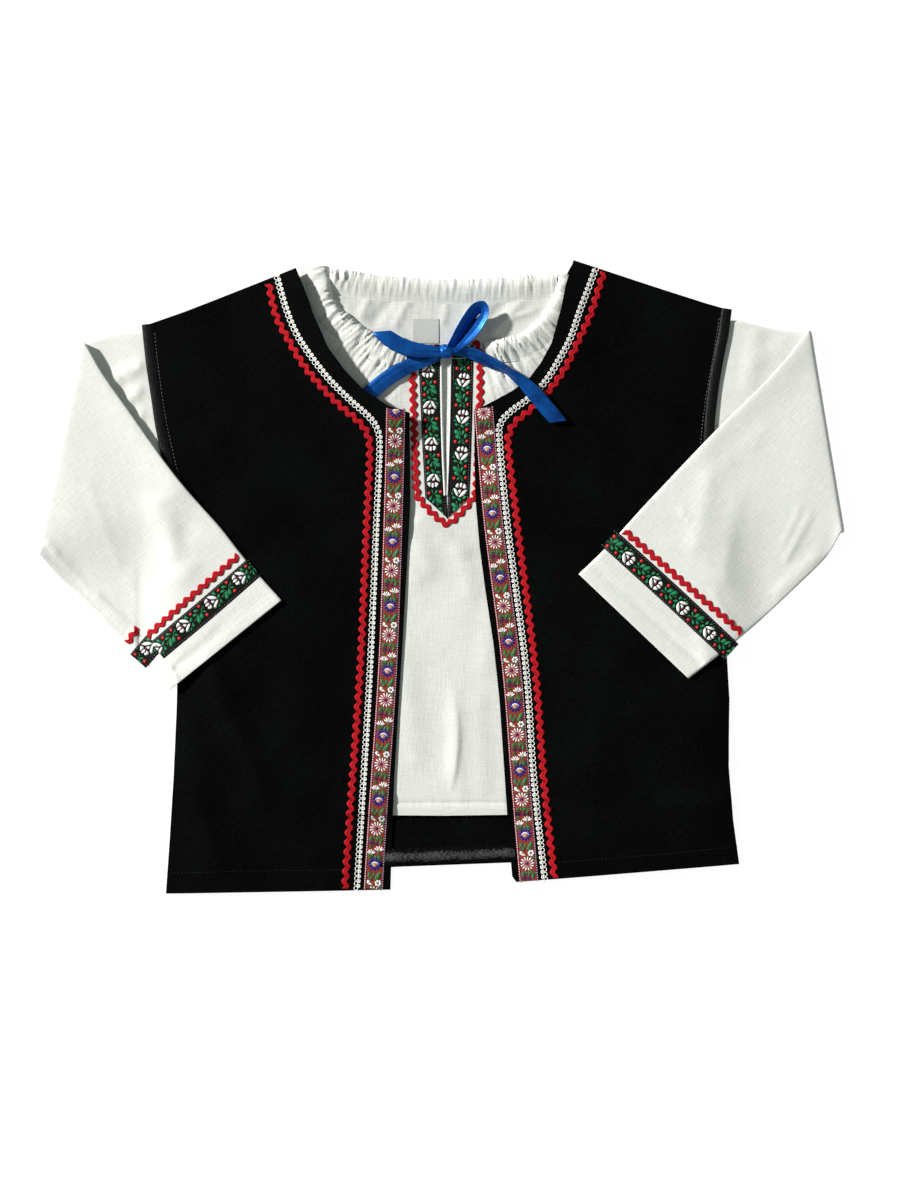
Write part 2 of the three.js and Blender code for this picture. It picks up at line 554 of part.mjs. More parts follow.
// Places round a section's wall, as t and h: out along one side and back along the other.
function ringPlaces(inner, width) {
  const wall = inner ? CLOTH : 0;
  const edge = wall / width;
  const bulge = inner ? 0 : 0.8 / width;
  const across = SLEEVE_COLUMNS.map((t) => lerp(edge, 1 - edge, t));
  const out = across.map((t) => [t, wall]);
  const back = across.toReversed().map((t) => [t, SLEEVE_HEIGHT - wall]);
  const middle = SLEEVE_HEIGHT / 2;
  return [...out, [1 - edge + bulge, middle], ...back, [edge - bulge, middle]];
}

function sleeveWall(sleeve) {
  const sections = sleeveSections(sleeve);
  const rings = [false, true].map((inner) =>
    sections.map((section) => {
      const width = section(0, 0).distanceTo(section(1, 0));
      return ringPlaces(inner, width).map(([t, h]) => section(t, h));
    }));
  const count = rings[0][0].length;
  const points = rings.flat(2);
  const at = (wall, s, k) => (wall * sections.length + s) * count + (k % count);
  const faces = [];
  const quad = (a, b, c, d) => faces.push(a, b, c, a, c, d);
  for (let k = 0; k < count; k++) {
    for (let s = 0; s < sections.length - 1; s++) {
      quad(at(0, s, k), at(0, s, k + 1), at(0, s + 1, k + 1), at(0, s + 1, k));
      quad(at(1, s, k), at(1, s + 1, k), at(1, s + 1, k + 1), at(1, s, k + 1));
    }
    const end = sections.length - 1;
    quad(at(0, 0, k), at(1, 0, k), at(1, 0, k + 1), at(0, 0, k + 1));
    quad(at(0, end, k), at(0, end, k + 1), at(1, end, k + 1), at(1, end, k));
  }
  return facingOut(points, faces);
}

// Trims across the cuff end of each sleeve. On the left their other ends show past the underarm seam.
const SLEEVE_TRIMS = [
  {
    name: "left",
    sleeve: SLEEVE_LEFT,
    ribbon: [[-124.4, 4.8], [-184.4, -46]],
    ricrac: [[-133.6, 14.6], [-192.2, -38.2]],
  },
  {
    name: "left_seam",
    sleeve: SLEEVE_LEFT,
    ribbon: [[-189.6, -43.2], [-196.6, -51.6]],
    ricrac: [[-199, -34.6], [-206, -43]],
  },
  {
    name: "right",
    sleeve: SLEEVE_RIGHT,
    ribbon: [[113.6, 22.2], [187.6, -45.2]],
    ricrac: [[121.6, 30], [197.2, -36]],
  },
];
addPiece("sleeve_left", sleeveWall(SLEEVE_LEFT), WHITE_CLOTH);
addPiece("sleeve_right", sleeveWall(SLEEVE_RIGHT), WHITE_CLOTH);
for (const { name, sleeve, ribbon, ricrac } of SLEEVE_TRIMS) {
  const turnedOver = sleeveSections(sleeve).slice(-sleeve.upper.length);
  const onSleeve = restingOn(turnedOver.map((section) => SLEEVE_COLUMNS.map((t) => section(t, 0))));
  const plan = bandPlan(spaced(ribbon, 5), [0.5, 0.25, 0, -0.25, -0.5].map((u) => u * ROSE_RIBBON_WIDTH));
  addPiece(`sleeve_ribbon_${name}`, layerOver(plan, onSleeve), ROSE_RIBBON);
  addPiece(`sleeve_ricrac_${name}`, layerOver(ricracPlan(ricrac), onSleeve), RED_BRAID);
}

// ---------------------------------------------------------------- satin bow
// A ribbon along a table: x, y, z of its middle line, then x, y, z of the direction across it.
function bowRibbon(table) {
  const points = table.map((row) => new THREE.Vector3(...row.slice(0, 3)));
  const line = new THREE.CatmullRomCurve3(points, false, "centripetal");
  const spans = table.length - 1;
  const grids = [[], []];
  for (let i = 0; i <= 2 * spans; i++) {
    const place = i / (2 * spans);
    const k = Math.min(Math.floor(i / 2), spans - 1);
    const f = i / 2 - k;
    const across = new THREE.Vector3(...table[k].slice(3)).lerp(new THREE.Vector3(...table[k + 1].slice(3)), f);
    const normal = new THREE.Vector3().crossVectors(line.getTangent(place), across).normalize();
    across.normalize();
    grids.forEach((grid, face) => {
      const level = line.getPoint(place).addScaledVector(normal, (face - 0.5) * CLOTH);
      grid.push([-0.5, 0, 0.5].map((u) => level.clone().addScaledVector(across, u * BOW_RIBBON_WIDTH)));
    });
  }
  return wallBetween(...grids);
}

const LOOP_RIGHT = [
  [8.4, 153, 8.6, -0.7, 0.5, 0.3], [12.6, 157, 7.4, -0.7, 0.52, 0.3], [19, 165, 7.2, -0.68, 0.5, 0.3],
  [24.4, 173, 8.2, -0.68, 0.48, 0.3], [26.2, 176.8, 10.4, -0.7, 0.44, 0.26], [23, 174, 12.4, -0.7, 0.46, 0.26],
  [15.6, 165, 12.6, -0.7, 0.5, 0.3], [8.6, 156, 12, -0.7, 0.5, 0.3],
];
const LOOP_LEFT = [
  [-2.8, 148.8, 9.4, 0.2, 0.85, 0.12], [-11, 150, 9, 0.2, 0.8, 0.14], [-24, 153.4, 8.6, 0.2, 0.8, 0.2],
  [-35, 156.4, 8.8, 0.24, 0.8, 0.24], [-40, 158.2, 10.2, 0.26, 0.82, 0.2], [-35, 158, 12, 0.22, 0.84, 0.22],
  [-21, 154.8, 12.2, 0.2, 0.84, 0.26], [-8, 151.4, 11.8, 0.2, 0.85, 0.26],
];
const TAIL_LEFT = [
  [-1.6, 145, 6.1, -0.2, 0.96, 0], [-11, 142.6, 6.1, -0.3, 0.94, 0], [-22, 138.2, 6.1, -0.42, 0.9, 0],
  [-34, 131.8, 6.1, -0.54, 0.84, 0], [-44, 124.4, 6.2, -0.62, 0.78, 0], [-52, 117, 6.2, -0.68, 0.73, 0],
];
const TAIL_RIGHT = [
  [9.8, 147.6, 8.8, -0.1, 0.8, 0.3], [20, 147, 8.8, 0.18, 0.72, 0.5], [33, 142.2, 9.4, 0.42, 0.76, 0.5],
  [46, 134.5, 11, 0.52, 0.66, 0.5], [58, 124.6, 11.4, 0.62, 0.7, 0.3], [68.6, 113.5, 11, 0.74, 0.66, 0.08],
  [77.4, 102, 10.9, 0.8, 0.6, 0],
];
addPiece("bow_loop_right", bowRibbon(LOOP_RIGHT), BLUE_SATIN);
addPiece("bow_loop_left", bowRibbon(LOOP_LEFT), BLUE_SATIN);
addPiece("bow_tail_left", bowRibbon(TAIL_LEFT), BLUE_SATIN);
addPiece("bow_tail_right", bowRibbon(TAIL_RIGHT), BLUE_SATIN);
const KNOT = { x: 3.3, y: 148.6, z: 9.2, width: 11, depth: 11.6, height: 6.8 };
addPiece(
  "bow_knot",
  new THREE.SphereGeometry(0.5, 12, 8)
    .scale(KNOT.width, KNOT.depth, KNOT.height)
    .translate(KNOT.x, KNOT.y, KNOT.z),
  BLUE_SATIN,
);

export default garment;
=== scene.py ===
# %% [markdown]
# # A child's folk shirt and vest, laid flat
# The set is a white shirt with a gathered neck inside an open black vest. Woven ribbon and zigzag braid
# trim both, the vest has a looped white braid as well, and a blue satin bow closes the neck. The packed
# model gives every panel at its real size, in metres, with +X to the right and +Y towards the neck. This
# lesson gives the panels soft surfaces and makes the braids, ribbons, stitches and bow that lie on them.

# %% Load the frame and name the units
import math

import bmesh
import bpy
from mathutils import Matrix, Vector, geometry, kdtree, noise
from mathutils.bvhtree import BVHTree


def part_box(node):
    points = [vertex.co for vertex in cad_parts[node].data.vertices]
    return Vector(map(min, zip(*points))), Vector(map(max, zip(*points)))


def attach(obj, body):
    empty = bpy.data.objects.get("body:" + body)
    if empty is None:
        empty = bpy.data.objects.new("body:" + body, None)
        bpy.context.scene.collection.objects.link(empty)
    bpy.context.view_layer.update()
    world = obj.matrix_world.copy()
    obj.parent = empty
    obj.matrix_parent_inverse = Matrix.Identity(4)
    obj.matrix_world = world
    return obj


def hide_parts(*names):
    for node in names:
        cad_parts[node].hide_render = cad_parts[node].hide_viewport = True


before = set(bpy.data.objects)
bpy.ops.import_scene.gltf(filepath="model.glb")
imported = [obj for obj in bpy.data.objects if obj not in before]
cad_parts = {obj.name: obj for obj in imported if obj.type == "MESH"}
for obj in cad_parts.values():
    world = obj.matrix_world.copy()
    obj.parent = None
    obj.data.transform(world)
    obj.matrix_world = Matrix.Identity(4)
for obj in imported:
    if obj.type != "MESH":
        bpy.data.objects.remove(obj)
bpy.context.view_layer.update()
MM = 0.001
UP = Vector((0, 0, 1))

# %% [markdown]
# ## Camera, table and light
# Flat clothes are shown from straight above. A long lens keeps the edges square. A low sun at the upper
# left gives each fold a lit and a shaded side, and a weak lamp opposite keeps the shadows open.

# %% Camera
VIEW_HEIGHT = 792 * MM
VIEW_CENTRE = Vector((6.3, -14.9, 0)) * MM
CAMERA_HEIGHT = 2.4
SENSOR_HEIGHT = 24


def placed(name, data):
    """A new object at the origin, in the scene."""
    thing = bpy.data.objects.new(name, data)
    bpy.context.collection.objects.link(thing)
    return thing


optics = bpy.data.cameras.new("camera")
optics.sensor_fit = "VERTICAL"
optics.sensor_height = SENSOR_HEIGHT
optics.lens = SENSOR_HEIGHT * CAMERA_HEIGHT / VIEW_HEIGHT
camera = placed("camera", optics)
camera.location = VIEW_CENTRE + UP * CAMERA_HEIGHT
bpy.context.scene.camera = camera
print("focal length in mm:", round(optics.lens, 1))


# %% Lamps and the room's light
def lamp(name, kind, place, strength, tint, **settings):
    light = bpy.data.lights.new(name, kind)
    light.energy = strength
    light.color = tint
    for key, value in settings.items():
        setattr(light, key, value)
    holder = placed(name, light)
    holder.location = place
    holder.rotation_euler = (-Vector(place)).to_track_quat("-Z", "Y").to_euler()


lamp("key lamp", "SUN", (-2.0, 0.95, 1.3), 6.3, (1.0, 0.985, 0.95), angle=math.radians(4))
lamp("fill lamp", "AREA", (1.6, -1.2, 2.4), 6, (0.93, 1.0, 0.96), size=1.6)
world = bpy.data.worlds.new("room")
world.use_nodes = True
backdrop = world.node_tree.nodes["Background"].inputs
backdrop["Color"].default_value = (0.93, 1.0, 0.95, 1)
backdrop["Strength"].default_value = 0.22
bpy.context.scene.world = world
bpy.context.scene.view_settings.view_transform = "Standard"
print("lamps:", list(bpy.data.lights.keys()))

# %% [markdown]
# ## Node trees as Python sums
# Materials and Geometry Nodes share one small helper. A wire is an output socket, and its operators add the
# Math nodes, so a pattern reads like the formula behind it.


# %% Wires and graphs
class Wire:
    """An output socket that takes part in Python arithmetic."""

    def __init__(self, graph, socket):
        self.graph = graph
        self.socket = socket

    def math(self, operation, *values):
        inputs = dict(enumerate((self, *values)))
        return self.graph.add("ShaderNodeMath", {"operation": operation}, inputs)

    def __add__(self, other):
        return self.math("ADD", other)

    __radd__ = __add__

    def __mul__(self, other):
        return self.math("MULTIPLY", other)

    __rmul__ = __mul__

    def __sub__(self, other):
        return self.math("SUBTRACT", other)

    def __rsub__(self, other):
        return self.graph.add("ShaderNodeMath", {"operation": "SUBTRACT"}, {0: other, 1: self})

    def __gt__(self, other):
        return self.math("GREATER_THAN", other)

    def vector(self, operation, value):
        slot = "Scale" if operation == "SCALE" else 1
        return self.graph.add("ShaderNodeVectorMath", {"operation": operation}, {0: self, slot: value})

    def output(self, name):
        return Wire(self.graph, self.socket.node.outputs[name])


class Graph:
    """A node tree being built: add() makes one node and returns the output that is asked for."""

    def __init__(self, tree):
        self.tree = tree

    def add(self, kind, settings=None, inputs=None, output=0):
        node = self.tree.nodes.new(kind)
        for name, value in (settings or {}).items():
            setattr(node, name, value)
        for name, value in (inputs or {}).items():
            if isinstance(value, Wire):
                self.tree.links.new(value.socket, node.inputs[name])
            else:
                node.inputs[name].default_value = value
        return Wire(self, node.outputs[output]) if len(node.outputs) else node

    def mix(self, factor, first, second):
        """A colour between two others."""
        return self.add("ShaderNodeMix", {"data_type": "RGBA"}, {0: factor, 6: first, 7: second}, output=2)

    def combine(self, x, y, z):
        return self.add("ShaderNodeCombineXYZ", None, {0: x, 1: y, 2: z})


print("operators of a wire:", [name for name in vars(Wire) if name.startswith("__") and name != "__doc__"])

# %% [markdown]
# ## Cloth materials
# Woven cloth is two sets of threads. At arm's length the eye sees streaks, where a thread is thicker or
# lighter than its neighbours, and a fine grain. Two noises stretched along X and along Y give the streaks,
# and a third, fine and even, gives the grain. They colour the cloth a little and drive its bump. A fourth,
# slow noise colours it in patches. On most cloth these only vary its tone, but on the facing tape, the
# bow's satin and the black vest cloth they are painted sheen. A band can also paint a highlight on a strip.


# %% Threads, weave and cloth
GRAIN_SIZE = 1.1 * MM
GRAIN_IN_RELIEF = 0.35
RELIEF_DEPTH = 0.6 * MM
SHINE = "Specular IOR Level"


def noise_at(graph, place, scale, detail=2.0):
    return graph.add("ShaderNodeTexNoise", None, {"Vector": place, "Scale": scale, "Detail": detail})


def thread_streaks(graph, place, pitch, run):
    """Noise stretched along each thread direction: pitch is the threads' spacing, run their length."""
    spans = [(1 / run, 1 / pitch, 0), (1 / pitch, 1 / run, 0)]
    warp, weft = (noise_at(graph, place.vector("MULTIPLY", span), 1.0) for span in spans)
    return (warp + weft) * 0.5


def painted_highlight_band(graph, place, slope, level, half):
    """A painted highlight along a strip, darker beside it: the strip's slope, its y at x = 0 and its half
    width.
    """
    forward, sideways = (
        graph.add("ShaderNodeSeparateXYZ", None, {"Vector": place}, output=k) for k in (0, 1)
    )
    off = (sideways - forward * slope - level) * (1 / half)
    return 0.3 - off * off


def cloth(name, color, shade, roughness, pitch=0.9 * MM, run=9 * MM, streak=0.5, bump=0.25, turn=0.0,
          patch=(14.0, 0.3), band=None, **shader):
    """Woven cloth: color in the light threads, shade in the dark ones, and patches of a scale and a share.

    Lengths are in metres. A band paints a highlight: the light tone keeps to that strip, darker beside it.
    """
    finish = bpy.data.materials.new(name)
    finish.use_nodes = True
    graph = Graph(finish.node_tree)
    graph.tree.nodes.clear()
    place = graph.add("ShaderNodeTexCoord", output="Object")
    if turn:
        place = graph.add("ShaderNodeMapping", None, {"Vector": place, "Rotation": (0, 0, turn)})
    streaks = thread_streaks(graph, place, pitch, run)
    grain = noise_at(graph, place, 1 / GRAIN_SIZE, 1.0)
    # On the satins and the black vest cloth, these patches are painted sheen.
    patch_scale, patch_share = patch
    patches = noise_at(graph, place, patch_scale)
    tone = (streaks - 0.5) * (4 * streak) + (grain - 0.5) * streak + (patches - 0.5) * patch_share + 0.5
    # A band paints a highlight: the light tone keeps to its strip, and beside it the cloth is painted darker.
    if band:
        tone = tone + painted_highlight_band(graph, place, *band)
    base = graph.mix(tone.math("MINIMUM", 1.0).math("MAXIMUM", 0.0), (*shade, 1), (*color, 1))
    height = streaks + grain * GRAIN_IN_RELIEF
    relief = graph.add(
        "ShaderNodeBump", None, {"Height": height, "Strength": bump, "Distance": RELIEF_DEPTH}
    )
    look = {"Base Color": base, "Roughness": roughness, "Normal": relief, SHINE: 0.12, **shader}
    surface = graph.add("ShaderNodeBsdfPrincipled", None, look)
    graph.add("ShaderNodeOutputMaterial", None, {"Surface": surface})
    return finish


def plain(name, color, shade, roughness, grain_size=0.5 * MM, bump=0.2, gloss=0.2):
    """Thread seen too small for its weave: two tones in a fine grain."""
    return cloth(
        name, color, shade, roughness,
        pitch=grain_size, run=3 * grain_size, streak=0.35, bump=bump, **{SHINE: gloss},
    )


print("grain of the cloths in mm:", round(GRAIN_SIZE / MM, 1))

# %% The vest's cloth and satins, and the shirt's linen
# The vest cloth's large patches are painted sheen: lighter and darker patches on the black.
black_cloth = cloth(
    "black vest cloth", (0.0028, 0.0036, 0.0031), (0.0002, 0.0003, 0.0003), 0.8,
    pitch=0.8 * MM, run=5 * MM, streak=0.6, bump=0.6, patch=(24.0, 1.0), **{SHINE: 0.02},
)
# The facing tape's light tone is a painted highlight along its roll, speckled by its streaks, and the tape is
# painted darker beside that strip. Its patches are painted sheen.
black_satin = cloth(
    "black satin tape", (0.058, 0.06, 0.059), (0.0006, 0.0008, 0.0008), 0.4,
    pitch=0.7 * MM, run=2 * MM, streak=1.3, bump=0.9, patch=(60.0, 1.6),
    band=(0.038, -183.6 * MM, 3.4 * MM), **{SHINE: 0.06},
)
edge_satin = cloth(
    "black satin edging", (0.0055, 0.006, 0.006), (0.0008, 0.001, 0.001), 0.38,
    pitch=0.5 * MM, run=8 * MM, streak=0.8, bump=0.7, **{SHINE: 0.14},
)
LINEN_TONES = ((0.8, 0.81, 0.785), (0.6, 0.62, 0.59))
SHEEN = {"Sheen Weight": 0.05, "Sheen Roughness": 0.6}


def linen_cloth(name, level, turn_degrees=0):
    """White linen at a painted level of light (left sleeve lit, back shaded); its weave turns with the
    panel's grain.
    """
    light, dark = ([level * c for c in tone] for tone in LINEN_TONES)
    turn = math.radians(turn_degrees)
    return cloth(name, light, dark, 0.9, pitch=0.75 * MM, run=11 * MM, bump=0.4, turn=turn, **SHEEN)


# The set's whites are lit and shaded copies of one linen: the left sleeve's is painted light, where it faces
# the lamp, and the back's, seen in the neck, is painted shade.
linen = linen_cloth("white shirt linen", 0.88)
back_linen_painted_shade = linen_cloth("white linen, back, painted shade", 0.81)
left_linen_painted_light = linen_cloth("white linen, left sleeve", 0.96, -41)
right_linen = linen_cloth("white linen, right sleeve", 0.9, 42)
# The label tape is painted grey for a white label: the grey is painted shade, from the bow over it.
label_tape_painted_shade = plain("blank label tape, painted shade", (0.5, 0.51, 0.5), (0.4, 0.41, 0.4), 0.7)
print("cloth materials:", len(bpy.data.materials))

# %% [markdown]
# ## Panels with soft surfaces
# The frame's panels are exact but coarse. Each is remade on an even net of points that its outline bounds,
# and its heights are smoothed between the edges, so the outline stays and the surface turns soft. A grid
# would be simpler, but its steps would show along a slanting edge.


# %% Netting a panel
# A net's points keep this share of its step from the rim, and heights at the rim are read just inside it.
NET_MARGIN = 0.6
LEVEL_PROBE = 0.05 * MM
SMOOTHINGS = 12


def rim_points(source, spacing):
    """Points and edges, in the plane, along the edges where a panel's upper side ends."""
    points, links = [], []
    for edge in source.edges:
        if sum(face.normal.z > 0.5 for face in edge.link_faces) != 1:
            continue
        a, b = (v.co.copy() for v in edge.verts)
        count = max(math.ceil((b - a).length / (spacing((a + b) / 2) * MM)), 1)
        for k in range(count + 1):
            points.append(a.lerp(b, k / count).xy)
        links += [(len(points) - 2 - k, len(points) - 1 - k) for k in range(count)]
    return points, links


def net_points(node, step, rim, spacing, level):
    """Points of an even net inside a panel, where the net's step in mm is the spacing wanted there."""
    low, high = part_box(node)
    gap = step * MM
    near = kdtree.KDTree(len(rim))
    for k, point in enumerate(rim):
        near.insert((*point, 0), k)
    near.balance()
    points = []
    for i in range(math.ceil((high[0] - low[0]) / gap)):
        for j in range(math.ceil((high[1] - low[1]) / gap)):
            place = Vector((low[0] + (i + 0.5) * gap, low[1] + (j + 0.5 + 0.5 * (i % 2)) * gap, 0))
            if spacing(place) != step or near.find(place)[2] < NET_MARGIN * gap:
                continue
            if level(place) is not None:
                points.append(place.xy)
    return points


def finer_copy(node, step, fine=None, where=None):
    """A panel remade on an even net of points, step mm apart, or fine mm apart where a test holds."""
    source = bmesh.new()
    source.from_mesh(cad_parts[node].data)
    bmesh.ops.remove_doubles(source, verts=source.verts, dist=1e-6)
    source.normal_update()
    tree = BVHTree.FromBMesh(source)

    def level(place, side=1):
        return tree.ray_cast(Vector((place.x, place.y, 0.1 * side)), -side * UP)[0]

    def spacing(place):
        return fine if where and where(place.x / MM, place.y / MM) else step

    rim, links = rim_points(source, spacing)
    points = list(rim)
    for size in {step, fine or step}:
        points += net_points(node, size, rim, spacing, level)
    flat, _, triangles, *_ = geometry.delaunay_2d_cdt(points, links, [], 0, 0.01 * MM)
    middles = [sum((flat[k] for k in face), Vector((0, 0))) / 3 for face in triangles]
    kept = [(face, middle) for face, middle in zip(triangles, middles) if level(middle) is not None]
    return panel_shell(flat, kept, level)


def panel_shell(flat, kept, level):
    """A closed panel over kept triangles, each with its middle: its two sides' heights come from level."""
    inner = {}
    uses = {}
    for face, middle in kept:
        for k, a in enumerate(face):
            inner.setdefault(a, []).append(middle)
            b = face[(k + 1) % 3]
            uses[min(a, b), max(a, b)] = uses.get((min(a, b), max(a, b)), 0) + 1
    work = bmesh.new()
    pairs = {}
    for k, middles in inner.items():
        inside = sum(middles, Vector((0, 0))) / len(middles)
        probe = flat[k] + (inside - flat[k]).normalized() * LEVEL_PROBE if inside != flat[k] else flat[k]
        ends = [level(probe, side) or level(inside, side) for side in (1, -1)]
        pairs[k] = [work.verts.new((*flat[k], end.z)) for end in ends]
    for face, _ in kept:
        work.faces.new([pairs[k][0] for k in face])
        work.faces.new([pairs[k][1] for k in reversed(face)])
    for (a, b), count in uses.items():
        if count == 1:
            work.faces.new((pairs[a][0], pairs[b][0], pairs[b][1], pairs[a][1]))
    bmesh.ops.recalc_face_normals(work, faces=work.faces)
    work.normal_update()
    inner_points = [v for v in work.verts if all(abs(face.normal.z) > 0.6 for face in v.link_faces)]
    for _ in range(SMOOTHINGS):
        bmesh.ops.smooth_vert(
            work, verts=inner_points, factor=0.5, use_axis_x=False, use_axis_y=False, use_axis_z=True
        )
    return work


print("nodes of the frame:", len(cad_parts))

# %% [markdown]
# ## Pieces
# Whatever makes a mesh, a piece of the set ends in the same way: a material, smooth shading that stops at
# sharp folds, the body that it rides on, and the nodes of the frame it stands for.

# %% From mesh to piece
SHARP_FOLD = math.radians(55)
REPLACED = {}


def mesh_from(work, name):
    """The plain mesh of a finished bmesh, which is then freed."""
    mesh = bpy.data.meshes.new(name)
    work.to_mesh(mesh)
    work.free()
    return mesh


def piece_from(work, name, finish, slot, *nodes):
    """Turns a finished mesh into a piece that replaces CAD nodes, or stands on its own."""
    mesh = mesh_from(work, name)
    mesh.shade_smooth()
    mesh.set_sharp_from_angle(angle=SHARP_FOLD)
    mesh.materials.append(finish)
    return settle(placed(name, mesh), slot, *nodes)


def settle(piece, slot, *nodes):
    """Gives a piece its body and the CAD nodes that it stands for. Its slot is not used."""
    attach(piece, "root")
    if nodes:
        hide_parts(*nodes)
    REPLACED.update({node: piece.name for node in nodes})
    return piece


print("pieces so far:", len(REPLACED))

# %% [markdown]
# ## Creases, gathers and puffs
# Cloth that was pressed and then laid out by hand has long soft ridges, a few sharp creases, and gathers
# where a string draws it in. Each is a height at a place: creases come from a short table of lines, and
# gathers from noise. A crease in one layer lifts the layers above it too, to keep them from crossing. A
# cloth simulation would settle the layers as well, but listed creases stay where a presser left them.


# %% Heights from lines and noise
def crease_lift(creases, x, y):
    """Height in mm, at a place in mm, of creases given by their ends, half width and height."""
    lift = 0.0
    for x1, y1, x2, y2, width, height in creases:
        dx, dy = x2 - x1, y2 - y1
        along = ((x - x1) * dx + (y - y1) * dy) / (dx * dx + dy * dy)
        near = min(max(along, 0.0), 1.0)
        wander = 0.35 * width * noise.noise(Vector((x1 + 3 * near, y1, 0.5)) * 1.7)
        away = math.hypot(x - x1 - near * dx, y - y1 - near * dy) + wander
        past = max(abs(along - 0.5) - 0.5, 0.0)
        lift += height * math.exp(-((away / width) ** 2) - 3 * past)
    return lift


def ripple(x, y, scale, height):
    """Slow unevenness of cloth that has been washed and laid out by hand, in mm."""
    return height * noise.noise(Vector((x, y, scale)) / scale)


def near_line(table, x, y):
    """Distance in mm from a place to a line through a table of places."""
    best = 1e9
    for (x1, y1), (x2, y2) in zip(table, table[1:]):
        dx, dy = x2 - x1, y2 - y1
        along = min(max(((x - x1) * dx + (y - y1) * dy) / (dx * dx + dy * dy), 0.0), 1.0)
        best = min(best, math.hypot(x - x1 - along * dx, y - y1 - along * dy))
    return best


def between(value, start, end):
    """How far a value is from start to end, held to 0 and 1."""
    return min(max((value - start) / (end - start), 0.0), 1.0)


def press(work, lift, fades=None):
    """Lifts a panel's points by a height function in mm, faded by an optional weight."""
    for v in work.verts:
        x, y = v.co.x / MM, v.co.y / MM
        v.co.z += lift(x, y) * MM * (fades(v.co) if fades else 1.0)


print("a crease 2 mm high, at its middle and 5 mm beside it:",
      [round(crease_lift([(0, 0, 40, 0, 5.0, 2.0)], 20, away), 2) for away in (0, 5)])

# %% Creases of the shirt's front
# A crease has its ends x1, y1, x2, y2, its half width and its height, all in mm. A trough's height is less
# than zero, as in the seam of the hem.
SHIRT_CREASES = [
    (26, -80, 28, -140, 5.0, 0.5), (-17, 36, -8, 4, 6.0, 0.9), (-12, 38, 15, 17, 5.0, 1.1),
    (-60, -148.8, 70, -148.4, 1.1, -0.6), (-60, -153, 70, -153, 3.0, 0.3),
    (15, 17, 20, -12, 6.0, 0.7), (-22, 12, -14, -4, 4.0, 0.8),
    (-24, -50, -16, -120, 8.0, 0.8), (34, -20, 30, -60, 6.0, 0.7),
]
NECK_CENTRE = (2, 215)
CURVED_CREASE = [(8.4, -74), (10.4, -88), (11.6, -100), (11.4, -112), (9.8, -126), (6.6, -143)]
CREASE_HEIGHT = 0.95
STEEP_SIDE, SLOW_SIDE = 1.7, 6.0


def gather(run, reach, seed, pitch=2.7):
    """Uneven round ridges with sharp troughs between them, 0 to about 1, at a way along the seam in mm."""
    fine = noise.noise(Vector((run / pitch, reach * 0.05, seed)))
    broad = noise.noise(Vector((run / (2.3 * pitch), reach * 0.03, seed + 5)))
    return min(abs(fine) * 2.4, 1.0) ** 0.7 * 0.6 + min(abs(broad) * 2.4, 1.0) ** 0.7 * 0.55


def yoke_folds(x, y):
    """Gathers that spread from the neck over the shirt's front and fade below it, in mm."""
    dx, dy = x - NECK_CENTRE[0], NECK_CENTRE[1] - y
    reach = math.hypot(dx, dy)
    if reach > 140 or dy < -5:
        return 0.0
    fade = math.exp(-((max(reach - 86, 0) / 17) ** 2))
    beside_slit = between(abs(x - 3), 24, 36)
    return 2.1 * fade * beside_slit * gather(math.atan2(dx, dy) * 70, reach, 2.0)


def curved_crease(x, y):
    """The one sharp crease over the shirt's hem: it rises slowly downwards and ends at the hem's seam."""
    rise = between(y, -74, -108) * between(y, -144, -128)
    if not rise or abs(x) > 34:
        return 0.0
    (x1, y1), (x2, y2) = next(
        pair for pair in zip(CURVED_CREASE, CURVED_CREASE[1:]) if pair[1][1] <= max(y, CURVED_CREASE[-1][1])
    )
    away = x - x1 - (x2 - x1) * (y1 - y) / (y1 - y2)
    width = STEEP_SIDE if away > 0 else SLOW_SIDE
    return CREASE_HEIGHT * rise * math.exp(-((away / width) ** 2))


def shirt_lift(x, y):
    return crease_lift(SHIRT_CREASES, x, y) + curved_crease(x, y) + ripple(x, y, 31, 0.25) + 0.2


print("shirt creases:", len(SHIRT_CREASES) + 1)

# %% Creases and edges of the vest's fronts
VEST_CREASES = [
    (-150, -62, -116, -142, 7.0, 2.2), (-168, -96, -150, -190, 9.0, 1.8), (-128, -150, -84, -182, 8.0, 1.7),
    (-104, 40, -92, -96, 14.0, 1.2), (188, -120, 128, -90, 5.0, 2.2), (190, -148, 150, -150, 6.0, 1.8),
    (112, -60, 96, -168, 12.0, 1.2), (172, -40, 184, -84, 6.0, 1.0), (-150, 90, -120, 30, 10.0, 1.0),
    (150, 96, 112, 40, 10.0, 1.0),
]
NECK_LEFT = [(-88, 190), (-80, 166), (-66, 140), (-46, 120), (-30, 110)]
NECK_RIGHT = [(88, 200), (80, 170), (70, 146), (52, 124), (30, 110)]
# The fronts' inner edges below the neck, left and right, from the corner at NECK_CORNER down to the hem.
NECK_CORNER = 104
EDGES = [
    [(-21, 104), (-23, 33), (-27, -62), (-33, -156), (-36, -205)],
    [(22, 104), (27, 33), (38, -60), (44, -132), (50, -199)],
]


def edge_sink(x, y):
    """How far the fronts' inner edges settle onto the shirt, unevenly, in mm."""
    if abs(x) > 100 or y > NECK_CORNER:
        return 0.0
    near = near_line(EDGES[x > 0], x, y)
    uneven = 2.6 + 0.9 * noise.noise(Vector((x / 90, y / 24, 7)))
    return uneven * math.exp(-((near / 30) ** 2)) * min((NECK_CORNER - y) / 16, 1)


